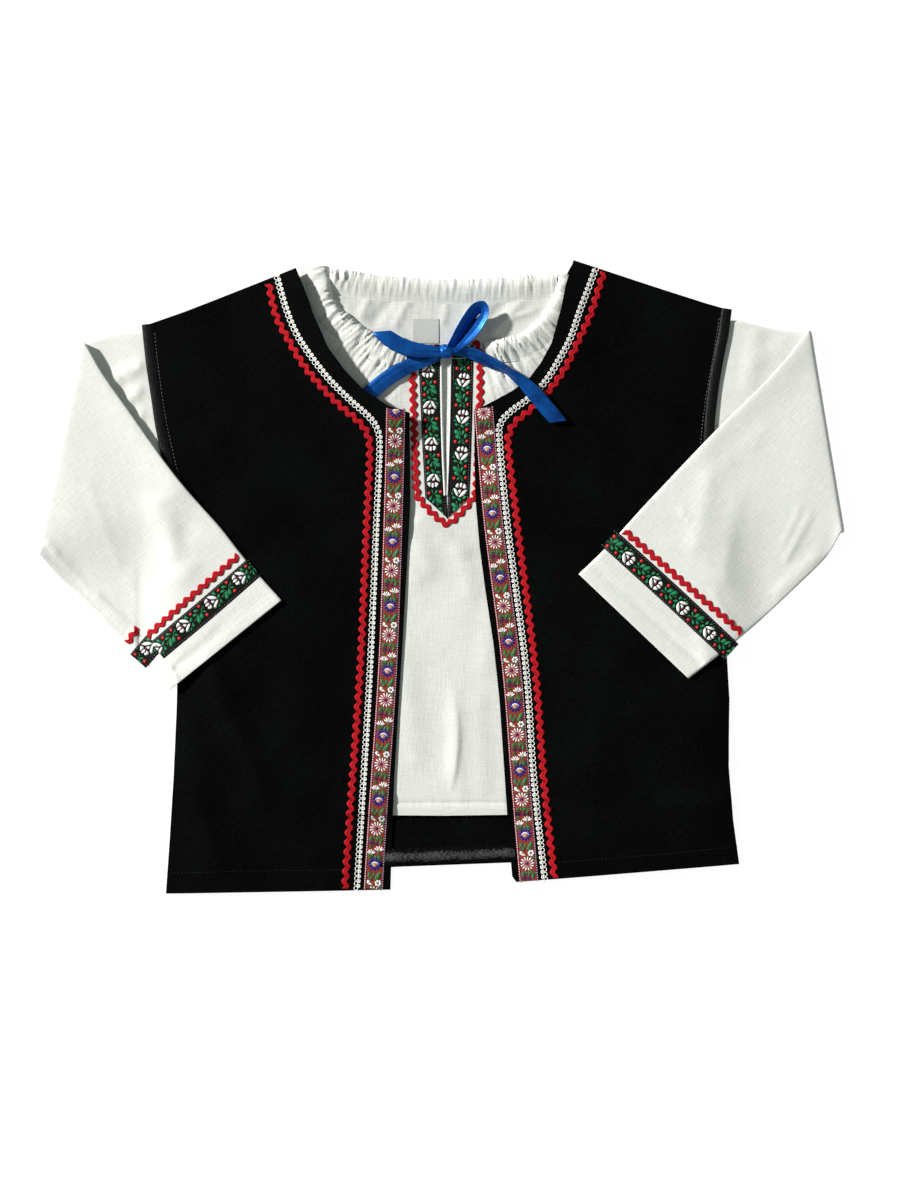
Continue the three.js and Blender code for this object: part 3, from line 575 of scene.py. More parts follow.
def vest_lift(x, y):
    """The shirt's height under it, a rise along the neck's two edges, and the front's own creases."""
    rise = 6.2 * math.exp(-((near_line(NECK_LEFT, x, y) / 17) ** 2))
    rise += 1.8 * math.exp(-((near_line(NECK_RIGHT, x, y) / 16) ** 2))
    rise -= edge_sink(x, y)
    return shirt_lift(x, y) + rise + crease_lift(VEST_CREASES, x, y) + ripple(x, y, 47, 0.35) + 0.35


print("vest creases:", len(VEST_CREASES))

# %% [markdown]
# ## Routes, and dropping trims onto cloth
# A braid or a row of stitches follows a route, a short table of x and y in millimetres. The trim is made
# flat at the table's height, and then each of its points is dropped straight down onto the cloth under it
# and keeps the height that it had over the table. So trims follow every crease with no fitting.


# %% Routes
def curved(a, b, c, d, t):
    """The place at t, 0 to 1, on a smooth curve from b to c that comes from a and goes on to d."""
    bend = (2 * a - 5 * b + 4 * c - d) * t * t + (3 * b - 3 * c + d - a) * t ** 3
    return (2 * b + (c - a) * t + bend) / 2


def smooth(table, steps=10):
    """Points, in metres, on a smooth curve through a table of millimetres."""
    points = [Vector((x, y, 0)) * MM for x, y in table]
    points = [2 * points[0] - points[1], *points, 2 * points[-1] - points[-2]]
    spans = zip(points, points[1:], points[2:], points[3:])
    return [*(curved(*span, k / steps) for span in spans for k in range(steps)), points[-2]]


def beside(route, distance):
    """A route moved a distance to its left."""
    moved = []
    for k, point in enumerate(route):
        along = (route[min(k + 1, len(route) - 1)] - route[max(k - 1, 0)]).normalized()
        moved.append(point + distance * UP.cross(along))
    return moved


def length_of(route):
    return sum((b - a).length for a, b in zip(route, route[1:]))


def stretch(route, start, end):
    """The part of a route between two distances along it."""
    part, run = [], 0.0
    for a, b in zip(route, route[1:]):
        span = (b - a).length
        for mark in (start, end):
            if run <= mark < run + span:
                part.append(a.lerp(b, (mark - run) / span))
        if start < run + span < end:
            part.append(b)
        run += span
    return part


def spaced(route, step):
    """Points along a route at even distances of about a step."""
    total = length_of(route)
    count = max(round(total / step), 1)
    return [stretch(route, min(k * total / count, total * 0.999999), 2 * total)[0] for k in range(count + 1)]


print("the vest's left front edge in mm:", round(length_of(smooth(EDGES[0])) / MM))


# %% Shells and dropping
def shell(name, tops, bottoms, finish, slot, *nodes):
    """A closed piece between two equal grids of points, its upper and its lower side."""
    work = bmesh.new()
    rows = [[[work.verts.new(point) for point in row] for row in grid] for grid in (tops, bottoms)]
    last, width = len(tops) - 1, len(tops[0]) - 1
    for k in range(last):
        for j in range(width):
            for grid in rows:
                work.faces.new((grid[k][j], grid[k + 1][j], grid[k + 1][j + 1], grid[k][j + 1]))
    rim = [(k, 0) for k in range(last)] + [(last, j) for j in range(width)]
    rim += [(k, width) for k in range(last, 0, -1)] + [(0, j) for j in range(width, 0, -1)]
    for (k, j), (m, n) in zip(rim, [*rim[1:], rim[0]]):
        work.faces.new((rows[0][k][j], rows[0][m][n], rows[1][m][n], rows[1][k][j]))
    bmesh.ops.recalc_face_normals(work, faces=work.faces)
    return piece_from(work, name, finish, slot, *nodes)


def skin_of(*pieces):
    """The pieces' faces as one tree that a trim can be dropped onto."""
    points, faces = [], []
    for piece in pieces:
        first = len(points)
        points += [v.co.copy() for v in piece.data.vertices]
        faces += [[first + k for k in face.vertices] for face in piece.data.polygons]
    return BVHTree.FromPolygons(points, faces)


def drop(piece, skin, lift=0.0):
    """Drops a flat piece onto a skin, point by point."""
    for v in piece.data.vertices:
        hit = skin.ray_cast(Vector((v.co.x, v.co.y, 0.1)), -UP)[0]
        if hit is None:
            hit = skin.find_nearest(Vector((v.co.x, v.co.y, 5 * MM)))[0]
        v.co.z += hit.z + lift
    return piece


print("points at 20 mm steps along that edge:", len(spaced(smooth(EDGES[0]), 20 * MM)))

# %% [markdown]
# ## The shirt's body and its label
# The shirt's back shows only in the neck, so it is cut coarsely below and stays flat there, and only its
# gathers under the neck casing are fine. The front has a fine net where it is gathered, along the seam of
# its hem and at its one sharp crease. The label is blank tape, sewn inside the back of the neck.


# %% Shirt body and label
def needs_detail(x, y):
    """Where the shirt's front has gathers, its hem's stitching or its sharp crease."""
    gathers = y > 104 and abs(x) < 98
    hem = -154 < y < -143 and abs(x) < 60
    sharp_crease = -146 < y < -72 and 0 < x < 18
    return gathers or hem or sharp_crease


BACK_CREASES = [
    (-34, 181, -44, 168, 3.6, -0.9), (-22, 181, -30, 166, 3.0, 0.8), (-48, 182, -52, 172, 2.6, 0.8),
    (42, 180, 30, 168, 3.6, -0.9), (52, 180, 34, 162, 3.0, 0.9), (22, 180, 14, 164, 3.0, 0.7),
    (62, 176, 40, 168, 2.2, 0.8), (4, 180, 2, 168, 2.4, 0.6),
]


def back_folds(x, y):
    near = math.exp(-max(188 - y, 0) / 16)
    return 0.9 + crease_lift(BACK_CREASES, x, y) + 0.6 * near * gather(x + 0.1 * y, y, 9.0, 3.4)


# Only the upper side is pressed, above this height, and only near the neck.
BACK_UPPER_SIDE = 1.8 * MM
BACK_NECK = 140 * MM
back_work = finer_copy("shirt_back", 6, 1.4, lambda x, y: y > 146 and abs(x) < 92)
press(back_work, back_folds, lambda place: float(place.z > BACK_UPPER_SIDE and place.y > BACK_NECK))
shirt_back = piece_from(back_work, "shirt_back_cloth", back_linen_painted_shade, "white_cloth", "shirt_back")

front_work = finer_copy("shirt_front", 3.4, 1.2, needs_detail)
press(front_work, lambda x, y: shirt_lift(x, y) + yoke_folds(x, y))
shirt_front = piece_from(front_work, "shirt_front_cloth", linen, "white_cloth", "shirt_front")

label_work = finer_copy("neck_label", 3)
bmesh.ops.translate(label_work, verts=label_work.verts, vec=-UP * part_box("neck_label")[0][2])
LABEL_THINNING = 0.4
for v in label_work.verts:
    v.co.z *= LABEL_THINNING
label = piece_from(label_work, "blank_neck_label", label_tape_painted_shade, "white_label", "neck_label")
drop(label, skin_of(shirt_back), 0.1 * MM)
print("shirt faces, front and back:", len(shirt_front.data.polygons), len(shirt_back.data.polygons))

# %% [markdown]
# ## The vest's panels
# The vest's back is hidden but for narrow strips, so its net is coarse. The fronts lie open over the
# shirt. Each is pressed, and then every point is held a little above the shirt, found by a ray straight
# down. That is quick, and keeps a front from sinking into the shirt where both are creased.

# %% Vest fronts and back
SHIRT_SKIN = skin_of(shirt_front)
# How far in mm each front's inner edge reaches past its node's, so that a black margin shows beside the
# ribbon. It fades out over the edge's last 50 mm below the neck.
EDGE_REACH = 2.4
EDGE_TOP, EDGE_FADE = 100, 50
# Heights over the shirt in mm, of a front's upper and lower side, and what is added over the shirt's hem.
CLEAR_ABOVE, CLEAR_BELOW, CLEAR_OF_HEM = 1.25, 0.25, 0.7


def vest_front(side):
    """A front, pressed and then held clear of the shirt. Its points are in pairs, the upper one first."""
    node = f"vest_front_{side}"
    work = finer_copy(node, 4)
    for v in work.verts:
        x, y = v.co.x / MM, v.co.y / MM
        if y < EDGE_TOP and near_line(EDGES[side == "right"], x, y) < 2.0:
            v.co.x -= math.copysign(EDGE_REACH * min((EDGE_TOP - y) / EDGE_FADE, 1.0), x) * MM
    press(work, vest_lift)
    for k, v in enumerate(work.verts):
        under = SHIRT_SKIN.ray_cast(Vector((v.co.x, v.co.y, 0.1)), -UP)[0]
        if under:
            over_hem = CLEAR_OF_HEM if -164 < v.co.y / MM < -142 and abs(v.co.x) < 70 * MM else 0.0
            clear = CLEAR_ABOVE if k % 2 == 0 else CLEAR_BELOW
            v.co.z = max(v.co.z, under.z + (clear + over_hem) * MM)
    return piece_from(work, f"vest_front_{side}_cloth", black_cloth, "black_cloth", node)


piece_from(finer_copy("vest_back", 14), "vest_back_cloth", black_cloth, "black_cloth", "vest_back")
vest_fronts = [vest_front("left"), vest_front("right")]
VEST_SKIN = skin_of(*vest_fronts)
print("vest front faces:", [len(piece.data.polygons) for piece in vest_fronts])

# %% [markdown]
# ## Satin at the vest's edges
# The back's hem is faced with a satin tape, which puckers at its two seams and rolls up between them. Each
# armhole is bound with a narrow satin tape folded over the cloth. The facing keeps its node's outline. The
# bindings are built as shells along the armhole, so that they have a round edge.

# %% Hem tape
HEM = [(-180, -205), (-100, -197), (-30, -191), (49, -188), (120, -186.5), (195.5, -187)]


def facing_folds(x, y):
    """The tape's own roll along its middle, and the small puckers of its two seams, in mm."""
    up = near_line(HEM, x, y)
    in_gap = between(min(x + 36, 50 - x), 0, 5)
    roll = 1.5 * math.exp(-(((up - 6.8) / 3.0) ** 2)) * (1 + 0.3 * noise.noise(Vector((x / 14, 0, 1))))
    return in_gap * (roll + 0.16 * noise.noise(Vector((x / 2.4, up / 7, 3))) + 0.2)


facing_work = finer_copy("vest_back_hem_facing", 1.3)
press(facing_work, facing_folds)
piece_from(facing_work, "vest_back_hem_tape", black_satin, "black_satin", "vest_back_hem_facing")
print("hem line in mm:", round(length_of(smooth(HEM)) / MM))

# %% Armhole bindings
BINDINGS = {
    "left": (-1, [
        (-175, 60), (-179, 74), (-184.5, 100), (-187, 117), (-189, 130), (-190.6, 141), (-192.4, 157.5),
        (-193.4, 166.7),
    ]),
    "right": (1, [
        (174.4, 70), (176.2, 84), (177.5, 104), (179.5, 122), (182, 138), (184.5, 151), (186.5, 161),
        (188.6, 177),
    ]),
}
BINDING_HALF_WIDTH = 3.4 * MM
BINDING_FROM_EDGE = 7 * MM


def armhole_binding(side):
    """A satin tape folded over the armhole's edge, level with the front beside it."""
    sign, table = BINDINGS[side]
    middle = spaced(smooth(table), 2 * MM)
    ways = (-1, -0.93, -0.6, 0, 0.6, 0.93, 1)
    tops, bottoms = [], []
    for row in zip(*[beside(middle, way * BINDING_HALF_WIDTH) for way in ways]):
        inside = row[3] - Vector((sign * BINDING_FROM_EDGE, 0, -0.1))
        level = VEST_SKIN.ray_cast(inside, -UP)[0].z
        tops.append([place + UP * (level + (0.45 - 0.7 * way ** 4) * MM) for place, way in zip(row, ways)])
        bottoms.append([place + UP * (level - 1.0 * MM) for place in row])
    return shell(f"armhole_edge_{side}", tops, bottoms, edge_satin, "black_satin", f"armhole_binding_{side}")


for side in BINDINGS:
    print(armhole_binding(side).name)

# %% [markdown]
# ## Sleeves
# These forms are round where the cloth turns over, so a Subdivision Surface suits them better than a flat
# net does. Triangles are first joined into quads, and the sharp rims are marked so that they keep their
# place.


# %% Rounded copies
SHARP_RIM = math.radians(66)
RIM_SHARPNESS = 0.9


def rounded_copy(node, levels):
    """A copy of a CAD node made smooth by Catmull-Clark subdivision."""
    work = bmesh.new()
    work.from_mesh(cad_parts[node].data)
    bmesh.ops.remove_doubles(work, verts=work.verts, dist=1e-6)
    bmesh.ops.join_triangles(
        work, faces=work.faces, angle_face_threshold=math.radians(50), angle_shape_threshold=math.radians(170)
    )
    sharp = work.edges.layers.float.new("crease_edge")
    for edge in work.edges:
        if edge.calc_face_angle(0) > SHARP_RIM:
            edge[sharp] = RIM_SHARPNESS
    draft = placed("draft", mesh_from(work, node))
    surface = draft.modifiers.new("soft", "SUBSURF")
    surface.levels = surface.render_levels = levels
    ready = draft.evaluated_get(bpy.context.evaluated_depsgraph_get())
    result = bmesh.new()
    result.from_mesh(ready.to_mesh())
    bpy.data.objects.remove(draft)
    return result


print("rims sharper than this stay, in degrees:", round(math.degrees(SHARP_RIM)))

# %% Sleeves
SLEEVE_CREASES = [
    (-258, 22, -196, -46, 3.0, 1.0), (-250, 14, -206, -34, 3.0, -0.6), (-226, -12, -196, -40, 2.4, 0.6),
    (-232, 60, -212, 10, 4.0, 0.35), (-186, 48, -170, 4, 9.0, 1.7), (-206, -2, -172, -30, 6.0, 0.4),
    (-166, 34, -172, 6, 7.0, -0.7), (-189, -50.7, -176.6, -59.5, 1.3, 0.7),
    (-176.6, -59.5, -172, -70, 1.3, 0.7), (-112, -7.4, -176, -61.6, 1.7, -0.8),
    (176, 62, 168, 22, 7.0, 0.7), (196, 50, 186, 0, 6.0, 0.5), (243, 40, 228, 12, 2.2, 0.6),
    (236, 44, 226, 22, 1.8, 0.4), (248, 14, 222, -10, 4.5, 0.6), (212, 96, 176, 66, 7.0, 0.5),
    (158, 44, 164, 38, 1.6, 0.7), (180, -10, 190, -30, 3.0, 0.5), (99.6, 9.8, 171, -56.4, 1.7, -0.8),
]
# The edge where each sleeve turns over at the elbow, and the creases of the layer under it.
SLEEVE_TURNS = [[(-237, 156), (-204, 108), (-172, 62)], [(244, 162), (204, 122), (172, 84)]]
LOWER_CREASES = [
    (-222, 128, -197, 139, 5.0, 1.6), (-211, 112, -198, 124, 4.0, 1.4), (-204, 100, -196, 108, 3.0, 1.2),
    (208, 160, 203, 128, 6.0, 0.7), (226, 154, 206, 140, 6.0, 0.5),
]


def sleeve_lift(x, y):
    return crease_lift(SLEEVE_CREASES, x, y) + ripple(x, y, 26, 0.2) + 0.3


def sleeve(side, finish):
    """A sleeve whose turned-over layer is puffed at the fold and lies on the vest, over a lower layer."""
    node = f"sleeve_{side}"
    work = rounded_copy(node, 3)
    turned = SLEEVE_TURNS[side == "right"]
    for v in work.verts:
        x, y, z = v.co / MM
        at_elbow = abs(x) > 200 and y < 60
        over = between(z, 0.8, 2.0) if at_elbow else between(z, 3.6, 4.8)
        lying_on_vest = 1 - between(abs(x), 176, 196)
        puff = 1.7 * math.exp(-((near_line(turned, x, y) / 13) ** 2))
        upper = sleeve_lift(x, y) + puff + 0.9 * vest_lift(x, y) * lying_on_vest
        clear_of_vest = between(abs(x) - 0.06 * (y - 74), 188, 195)
        lower = crease_lift(LOWER_CREASES, x, y) * clear_of_vest * between(z, 1.6, 2.6)
        v.co.z += (over * upper + (1 - over) * lower) * MM
    return piece_from(work, f"sleeve_{side}_cloth", finish, "white_cloth", node)


sleeves = [sleeve("left", left_linen_painted_light), sleeve("right", right_linen)]
print("sleeve faces:", [len(piece.data.polygons) for piece in sleeves])

# %% [markdown]
# ## Neck casings
# The neck's edge is turned over and drawn up on a string. Each casing is a rolled band along the edge. The
# shirt's own gathers run on into it, so they cross the seam unbroken, and finer ridges of its own run
# from the edge to the seam, where the string bunches the cloth.


# %% Neck casing
CASING_STEP = 0.9
CASING_RIDGES = 2.4
SEAM_TUCK = 1.6


def gathered_band(name, node, table, depth, level, folds, seed):
    """A casing depth mm wide along the neck edge: level is the height in mm that its seam side lies at."""
    route = spaced(smooth(table), CASING_STEP * MM)
    places = (0, 0.03, 0.08, 0.16, 0.26, 0.38, 0.52, 0.66, 0.8, 0.91, 1, 1 + SEAM_TUCK / depth)
    tops, bottoms = [], []
    for count, row in enumerate(zip(*[beside(route, -u * depth * MM) for u in places])):
        run = CASING_STEP * count
        bunch = gather(run, 0, seed, CASING_RIDGES)
        outward = (row[0] - row[-1]).normalized()
        upper, lower = [], []
        for u, place in zip(places, row):
            roll = 2.2 * math.sqrt(1 - (1 - between(u, 0, 0.3)) ** 2) * (1 - 0.95 * between(u, 0.35, 1))
            tuck = 0.5 * max(u - 1, 0) * depth / SEAM_TUCK
            spot = place + outward * (bunch - 0.6) * 1.6 * (1 - u) * MM
            x, y = spot.x / MM, spot.y / MM
            ridge = gather(run + 2 * u, 6 * u, seed, CASING_RIDGES) * max(math.sin(math.pi * (u + 0.12)), 0)
            height = level + roll + folds(x, y) * min(u * 6, 1) + ridge - tuck
            upper.append(Vector((spot.x, spot.y, height * MM)))
            lower.append(Vector((spot.x, spot.y, (level - 1.0 + 0.25 * min(u, 0.2)) * MM)))
        tops.append(upper)
        bottoms.append(lower)
    return shell(name, tops, bottoms, linen, "white_cloth", node)


def front_level(x, y):
    return yoke_folds(x, y) + 0.2


BUNCHES = [(-70, 206, -69, 196, 1.2, 1.8), (-65, 206, -63, 197, 1.1, 1.6)]


def back_level(x, y):
    near = math.exp(-max(200 - y, 0) / 14)
    return 0.2 + crease_lift(BUNCHES, x, y) + 0.9 * near * gather(x + 0.1 * y, y, 9.0, 3.4)


print("rows of points along a casing, apart in mm:", CASING_STEP)

# %% The neck's three stretches of casing
CASINGS = {
    "back": ([
        (-71, 204), (-48.9, 200.4), (-28.7, 198.3), (-10, 197.2), (9.6, 196.7), (34, 197.4), (58, 198.9),
        (76, 201.4),
    ], 16.4, 2.6, back_level, "shirt_back_cloth"),
    "left": ([
        (-73, 205), (-72.2, 194.6), (-71.4, 188), (-66, 178), (-55.6, 169.1), (-44.2, 161), (-33, 154.6),
        (-20.5, 151),
    ], 14.6, 4.3, front_level, "shirt_front_cloth"),
    "right": ([
        (28.4, 155.4), (38.6, 157.4), (46.4, 158.4), (52.6, 160.7), (59, 165.6), (66, 172.6), (71.3, 180.1),
        (75, 189), (77.5, 200.5),
    ], 14.6, 3.6, front_level, "shirt_front_cloth"),
}
CASING_FULLNESS = 1.35
FIRST_SEED = 20
for seed, (side, (table, depth, level, folds, shirt)) in enumerate(CASINGS.items(), FIRST_SEED):
    node = f"neck_casing_{side}"
    casing = gathered_band(f"{node}_cloth", node, table, depth, level, folds, seed)
    flat = (depth * MM, length_of(smooth(table)) * CASING_FULLNESS)
    print(node, "faces:", len(casing.data.polygons))

# %% [markdown]
# ## Growing trims along a route
# Geometry Nodes turn a route into a trim. Every tree has the route as its input and named sizes, and ends
# in Realize Instances and Set Material. The finished mesh is taken from the evaluated object, and the
# modifier goes, because only plain meshes leave this scene.


# %% Trees and growing
class Tree(Graph):
    """A Geometry Nodes tree with named sizes, whose input mesh is a route made into a curve."""

    def __init__(self, name, **sizes):
        super().__init__(bpy.data.node_groups.new(name, "GeometryNodeTree"))
        face = self.tree.interface
        face.new_socket("Geometry", in_out="OUTPUT", socket_type="NodeSocketGeometry")
        face.new_socket("Route", in_out="INPUT", socket_type="NodeSocketGeometry")
        self.keys = {}
        for label, size in sizes.items():
            socket = face.new_socket(label, in_out="INPUT", socket_type="NodeSocketFloat")
            socket.default_value = size
            self.keys[label] = socket.identifier
        entry = self.tree.nodes.new("NodeGroupInput")
        self.sizes = {label: Wire(self, entry.outputs[label]) for label in sizes}
        self.route = self.add("GeometryNodeMeshToCurve", None, {"Mesh": Wire(self, entry.outputs["Route"])})

    def sampled(self, pitch):
        inputs = {"Curve": self.route, "Length": pitch}
        return self.add("GeometryNodeResampleCurve", {"mode": "LENGTH"}, inputs)

    def store(self, geometry, name, kind, value):
        settings = {"data_type": kind, "domain": "POINT"}
        return self.add(
            "GeometryNodeStoreNamedAttribute", settings, {"Geometry": geometry, "Name": name, "Value": value}
        )

    def read(self, name, kind):
        return self.add("GeometryNodeInputNamedAttribute", {"data_type": kind}, {"Name": name})

    def place(self):
        return self.add("GeometryNodeInputPosition")

    def swept(self, line, profile):
        """A profile swept along a line. Its points know the line's middle, its side, and their own place."""
        along = self.add("GeometryNodeInputTangent")
        side = self.add("ShaderNodeVectorMath", {"operation": "CROSS_PRODUCT"}, {0: tuple(UP), 1: along})
        line = self.store(line, "middle", "FLOAT_VECTOR", self.place())
        line = self.store(line, "side", "FLOAT_VECTOR", side)
        parts = self.add("ShaderNodeSeparateXYZ", None, {0: self.place()})
        profile = self.store(profile, "across", "FLOAT", parts)
        profile = self.store(profile, "rise", "FLOAT", parts.output("Y"))
        inputs = {"Curve": line, "Profile Curve": profile, "Fill Caps": True}
        return self.add("GeometryNodeCurveToMesh", None, inputs)

    def shaped(self, band, offset, height):
        """Puts a swept band's points at an offset to the line's left and a height over it."""
        to_side = self.read("side", "FLOAT_VECTOR").vector("SCALE", offset)
        spot = self.read("middle", "FLOAT_VECTOR").vector("ADD", to_side)
        spot = spot.vector("ADD", self.combine(0.0, 0.0, height))
        return self.add("GeometryNodeSetPosition", None, {"Geometry": band, "Position": spot})

    def close(self, geometry, finishes):
        """Ends the tree. Face attribute thread picks the finish where there is more than one."""
        geometry = self.add("GeometryNodeRealizeInstances", None, {"Geometry": geometry})
        for number, finish in enumerate(finishes):
            inputs = {"Geometry": geometry, "Material": finish}
            if number:
                thread = self.read("thread", "FLOAT")
                inputs["Selection"] = thread > number - 0.5
            geometry = self.add("GeometryNodeSetMaterial", None, inputs)
        exit_node = self.tree.nodes.new("NodeGroupOutput")
        self.tree.links.new(geometry.socket, exit_node.inputs["Geometry"])
        return self


def grow(name, route, tree, slot, nodes=(), **sizes):
    """Runs a tree on a route and keeps the plain mesh that comes out."""
    mesh = bpy.data.meshes.new(name)
    mesh.from_pydata([tuple(p) for p in route], [(k, k + 1) for k in range(len(route) - 1)], [])
    draft = placed(name, mesh)
    growth = draft.modifiers.new("growth", "NODES")
    growth.node_group = tree.tree
    for label, size in sizes.items():
        growth[tree.keys[label]] = size
    ready = draft.evaluated_get(bpy.context.evaluated_depsgraph_get())
    draft_mesh = bpy.data.meshes.new_from_object(ready)
    draft.modifiers.clear()
    draft.data = draft_mesh
    draft.data.name = name
    bpy.data.meshes.remove(mesh)
    draft.data.shade_smooth()
    return settle(draft, slot, *nodes)


print("a tree's methods:", [name for name in vars(Tree) if not name.startswith("__")])

# %% [markdown]
# ## Stitches
# A machine stitch is a short thread between two needle holes. One small bead, stretched along the seam, is
# enough at this size. Its pitch, length and thickness are the tree's inputs.


# %% Stitch rows
def stitch_tree(name, finish, thickness=0.36 * MM):
    tree = Tree(name, Pitch=2.4 * MM, Length=1.7 * MM, Thickness=thickness)
    length, thick = tree.sizes["Length"], tree.sizes["Thickness"]
    bead = tree.add("GeometryNodeMeshUVSphere", None, {"Segments": 6, "Rings": 4, "Radius": 0.5})
    tangent = tree.add("GeometryNodeInputTangent")
    turn = tree.add("FunctionNodeAlignRotationToVector", {"axis": "X"}, {"Vector": tangent})
    inputs = {
        "Points": tree.sampled(tree.sizes["Pitch"]), "Instance": bead, "Rotation": turn,
        "Scale": tree.combine(length, thick, thick),
    }
    return tree.close(tree.add("GeometryNodeInstanceOnPoints", None, inputs), [finish])


black_thread = plain("black thread", (0.02, 0.021, 0.021), (0.008, 0.008, 0.008), 0.5)
white_thread = plain("white thread", (0.82, 0.83, 0.81), (0.66, 0.68, 0.66), 0.7)
black_stitches = stitch_tree("black stitches", black_thread)
white_stitches = stitch_tree("white stitches", white_thread, 0.5 * MM)
print("stitch trees:", len(bpy.data.node_groups))

# %% [markdown]
# ## Zigzag braid
# Ric-rac is a flat braid woven tighter on alternate edges, so each edge is a row of round scallops with
# sharp notches between, half a wave apart from the other edge. A round section is swept along the route,
# and its points are then moved: the left half follows the size of one sine and the right half of the
# cosine, and a groove is pressed between them.


# %% Zigzag braid tree
def ricrac_tree(finish):
    tree = Tree("zigzag braid", Pitch=6.4 * MM, Reach=2.9 * MM, Waist=0.55 * MM, Thickness=0.85 * MM)
    pitch, reach, waist, thick = tree.sizes.values()
    length = tree.add("GeometryNodeSplineParameter", output="Length")
    line = tree.store(tree.sampled(0.6 * MM), "run", "FLOAT", length)
    ring = tree.add("GeometryNodeCurvePrimitiveCircle", None, {"Resolution": 16, "Radius": 1.0})
    band = tree.swept(line, ring)
    phase = (tree.read("run", "FLOAT") * math.pi).math("DIVIDE", pitch)
    left, right = (phase.math(wave).math("ABSOLUTE").math("POWER", 1.2) for wave in ("SINE", "COSINE"))
    across, rise = tree.read("across", "FLOAT"), tree.read("rise", "FLOAT")
    is_left = across > 0.0
    scallop = left * is_left + right * (1 - is_left)
    offset = across * (waist + (reach - waist) * scallop)
    groove = 1 - (1 - across.math("ABSOLUTE")).math("POWER", 5.0) * 0.55
    height = (rise.math("MAXIMUM", -0.2) + 0.2) * thick * groove
    return tree.close(tree.shaped(band, offset, height), [finish])


braid_red = plain("red zigzag braid", (0.52, 0.007, 0.016), (0.24, 0.003, 0.007), 0.7, 0.4 * MM, 0.3, 0.12)
ricrac = ricrac_tree(braid_red)
print("sizes of the zigzag braid:", list(ricrac.sizes))

# %% Zigzag braids
RICRAC_ROUTES = {
    "vest_ricrac_left": [
        (-112.8, 193), (-107.9, 172.2), (-99.5, 155.6), (-90.4, 140.4), (-79.7, 127.1), (-66.3, 113.2),
        (-54, 102.6), (-48, 94.5), (-46.2, 81), (-48.4, 33.3), (-52.7, -61.7), (-59.4, -156), (-62.8, -205),
    ],
    "vest_ricrac_right": [
        (107.6, 200.6), (103.4, 187), (99, 173), (91.4, 156.5), (83, 139), (74.2, 126), (61.7, 112.2),
        (50, 102.5), (45.8, 95), (45, 84.2), (51, 33.3), (62.6, -59.7), (68.2, -131.7), (75.2, -198),
    ],
    "placket_ricrac": [
        (-18.6, 149), (-17.9, 120), (-16.9, 90), (-15.4, 57), (-12.2, 50), (-4.2, 41.2), (4.4, 35.4),
        (12.4, 41.4), (20.2, 50.5), (23.4, 58), (25, 90), (26.2, 120), (26, 146), (24.6, 152.6),
        (21.4, 154.6),
    ],
    "sleeve_ricrac_left": [(-133, 14), (-163, -12), (-193.4, -39)],
    "sleeve_ricrac_left_seam": [(-199.4, -33.4), (-206.6, -43.4)],
    "sleeve_ricrac_right": [(121, 30.6), (160, -3.6), (198.3, -36.6)],
}
SLEEVE_SKIN = skin_of(*sleeves)


def skin_for(node):
    return {"vest": VEST_SKIN, "plac": SHIRT_SKIN, "slee": SLEEVE_SKIN}[node[:4]]


for node, table in RICRAC_ROUTES.items():
    braid = grow(f"{node}_braid", smooth(table), ricrac, "red_braid", [node])
    drop(braid, skin_for(node))
    print(node, "faces:", len(braid.data.polygons))

# %% [markdown]
# ## Looped white braid
# The white braid is a crochet-like chain: at each stitch it has an open ring on one side and, half a stitch
# on, a fuller, flatter one on the other. The pair is modelled once, out of low rings, and instanced along
# the route.


# %% Stitch of the looped braid
def ring_into(work, centre, radii, wire, around, sides):
    """Adds a closed ring of wire, flattened, to a mesh: centre and radii in the plane, in metres."""
    rows = []
    for k in range(around):
        turn = 2 * math.pi * k / around
        out = Vector((math.cos(turn), math.sin(turn), 0))
        middle = centre + Vector((radii[0] * out.x, radii[1] * out.y, 0))
        loop = []
        for j in range(sides):
            tilt = 2 * math.pi * (j + 0.5) / sides
            loop.append(work.verts.new(middle + wire * (out * math.cos(tilt) + UP * (0.9 * math.sin(tilt)))))
        rows.append(loop)
    for k in range(around):
        for j in range(sides):
            a, b = rows[k], rows[(k + 1) % around]
            work.faces.new((a[j], b[j], b[(j + 1) % sides], a[(j + 1) % sides]))


def loop_unit():
    """One stitch of the looped braid: an open ring and, half a stitch on, a fuller one across the spine."""
    work = bmesh.new()
    ring_into(work, Vector((0, 1.15, 0.3)) * MM, (1.3 * MM, 1.2 * MM), 0.28 * MM, 14, 5)
    ring_into(work, Vector((1.6, -0.8, 0.4)) * MM, (0.95 * MM, 0.62 * MM), 0.42 * MM, 12, 5)
    bmesh.ops.recalc_face_normals(work, faces=work.faces)
    return bpy.data.objects.new("loop unit", mesh_from(work, "loop unit"))


def repeat_tree(name, unit, finishes, pitch):
    """Instances one unit along a route, its X along the route."""
    tree = Tree(name, Pitch=pitch)
    source = tree.add("GeometryNodeObjectInfo", None, {"Object": unit}, output="Geometry")
    axes = {"Primary Axis": tree.add("GeometryNodeInputTangent"), "Secondary Axis": tuple(UP)}
    turn = tree.add("FunctionNodeAxesToRotation", {"primary_axis": "X", "secondary_axis": "Z"}, axes)
    inputs = {"Points": tree.sampled(tree.sizes["Pitch"]), "Instance": source, "Rotation": turn}
    return tree.close(tree.add("GeometryNodeInstanceOnPoints", None, inputs), finishes)


loop_pair = loop_unit()
print("faces of one stitch:", len(loop_pair.data.polygons))

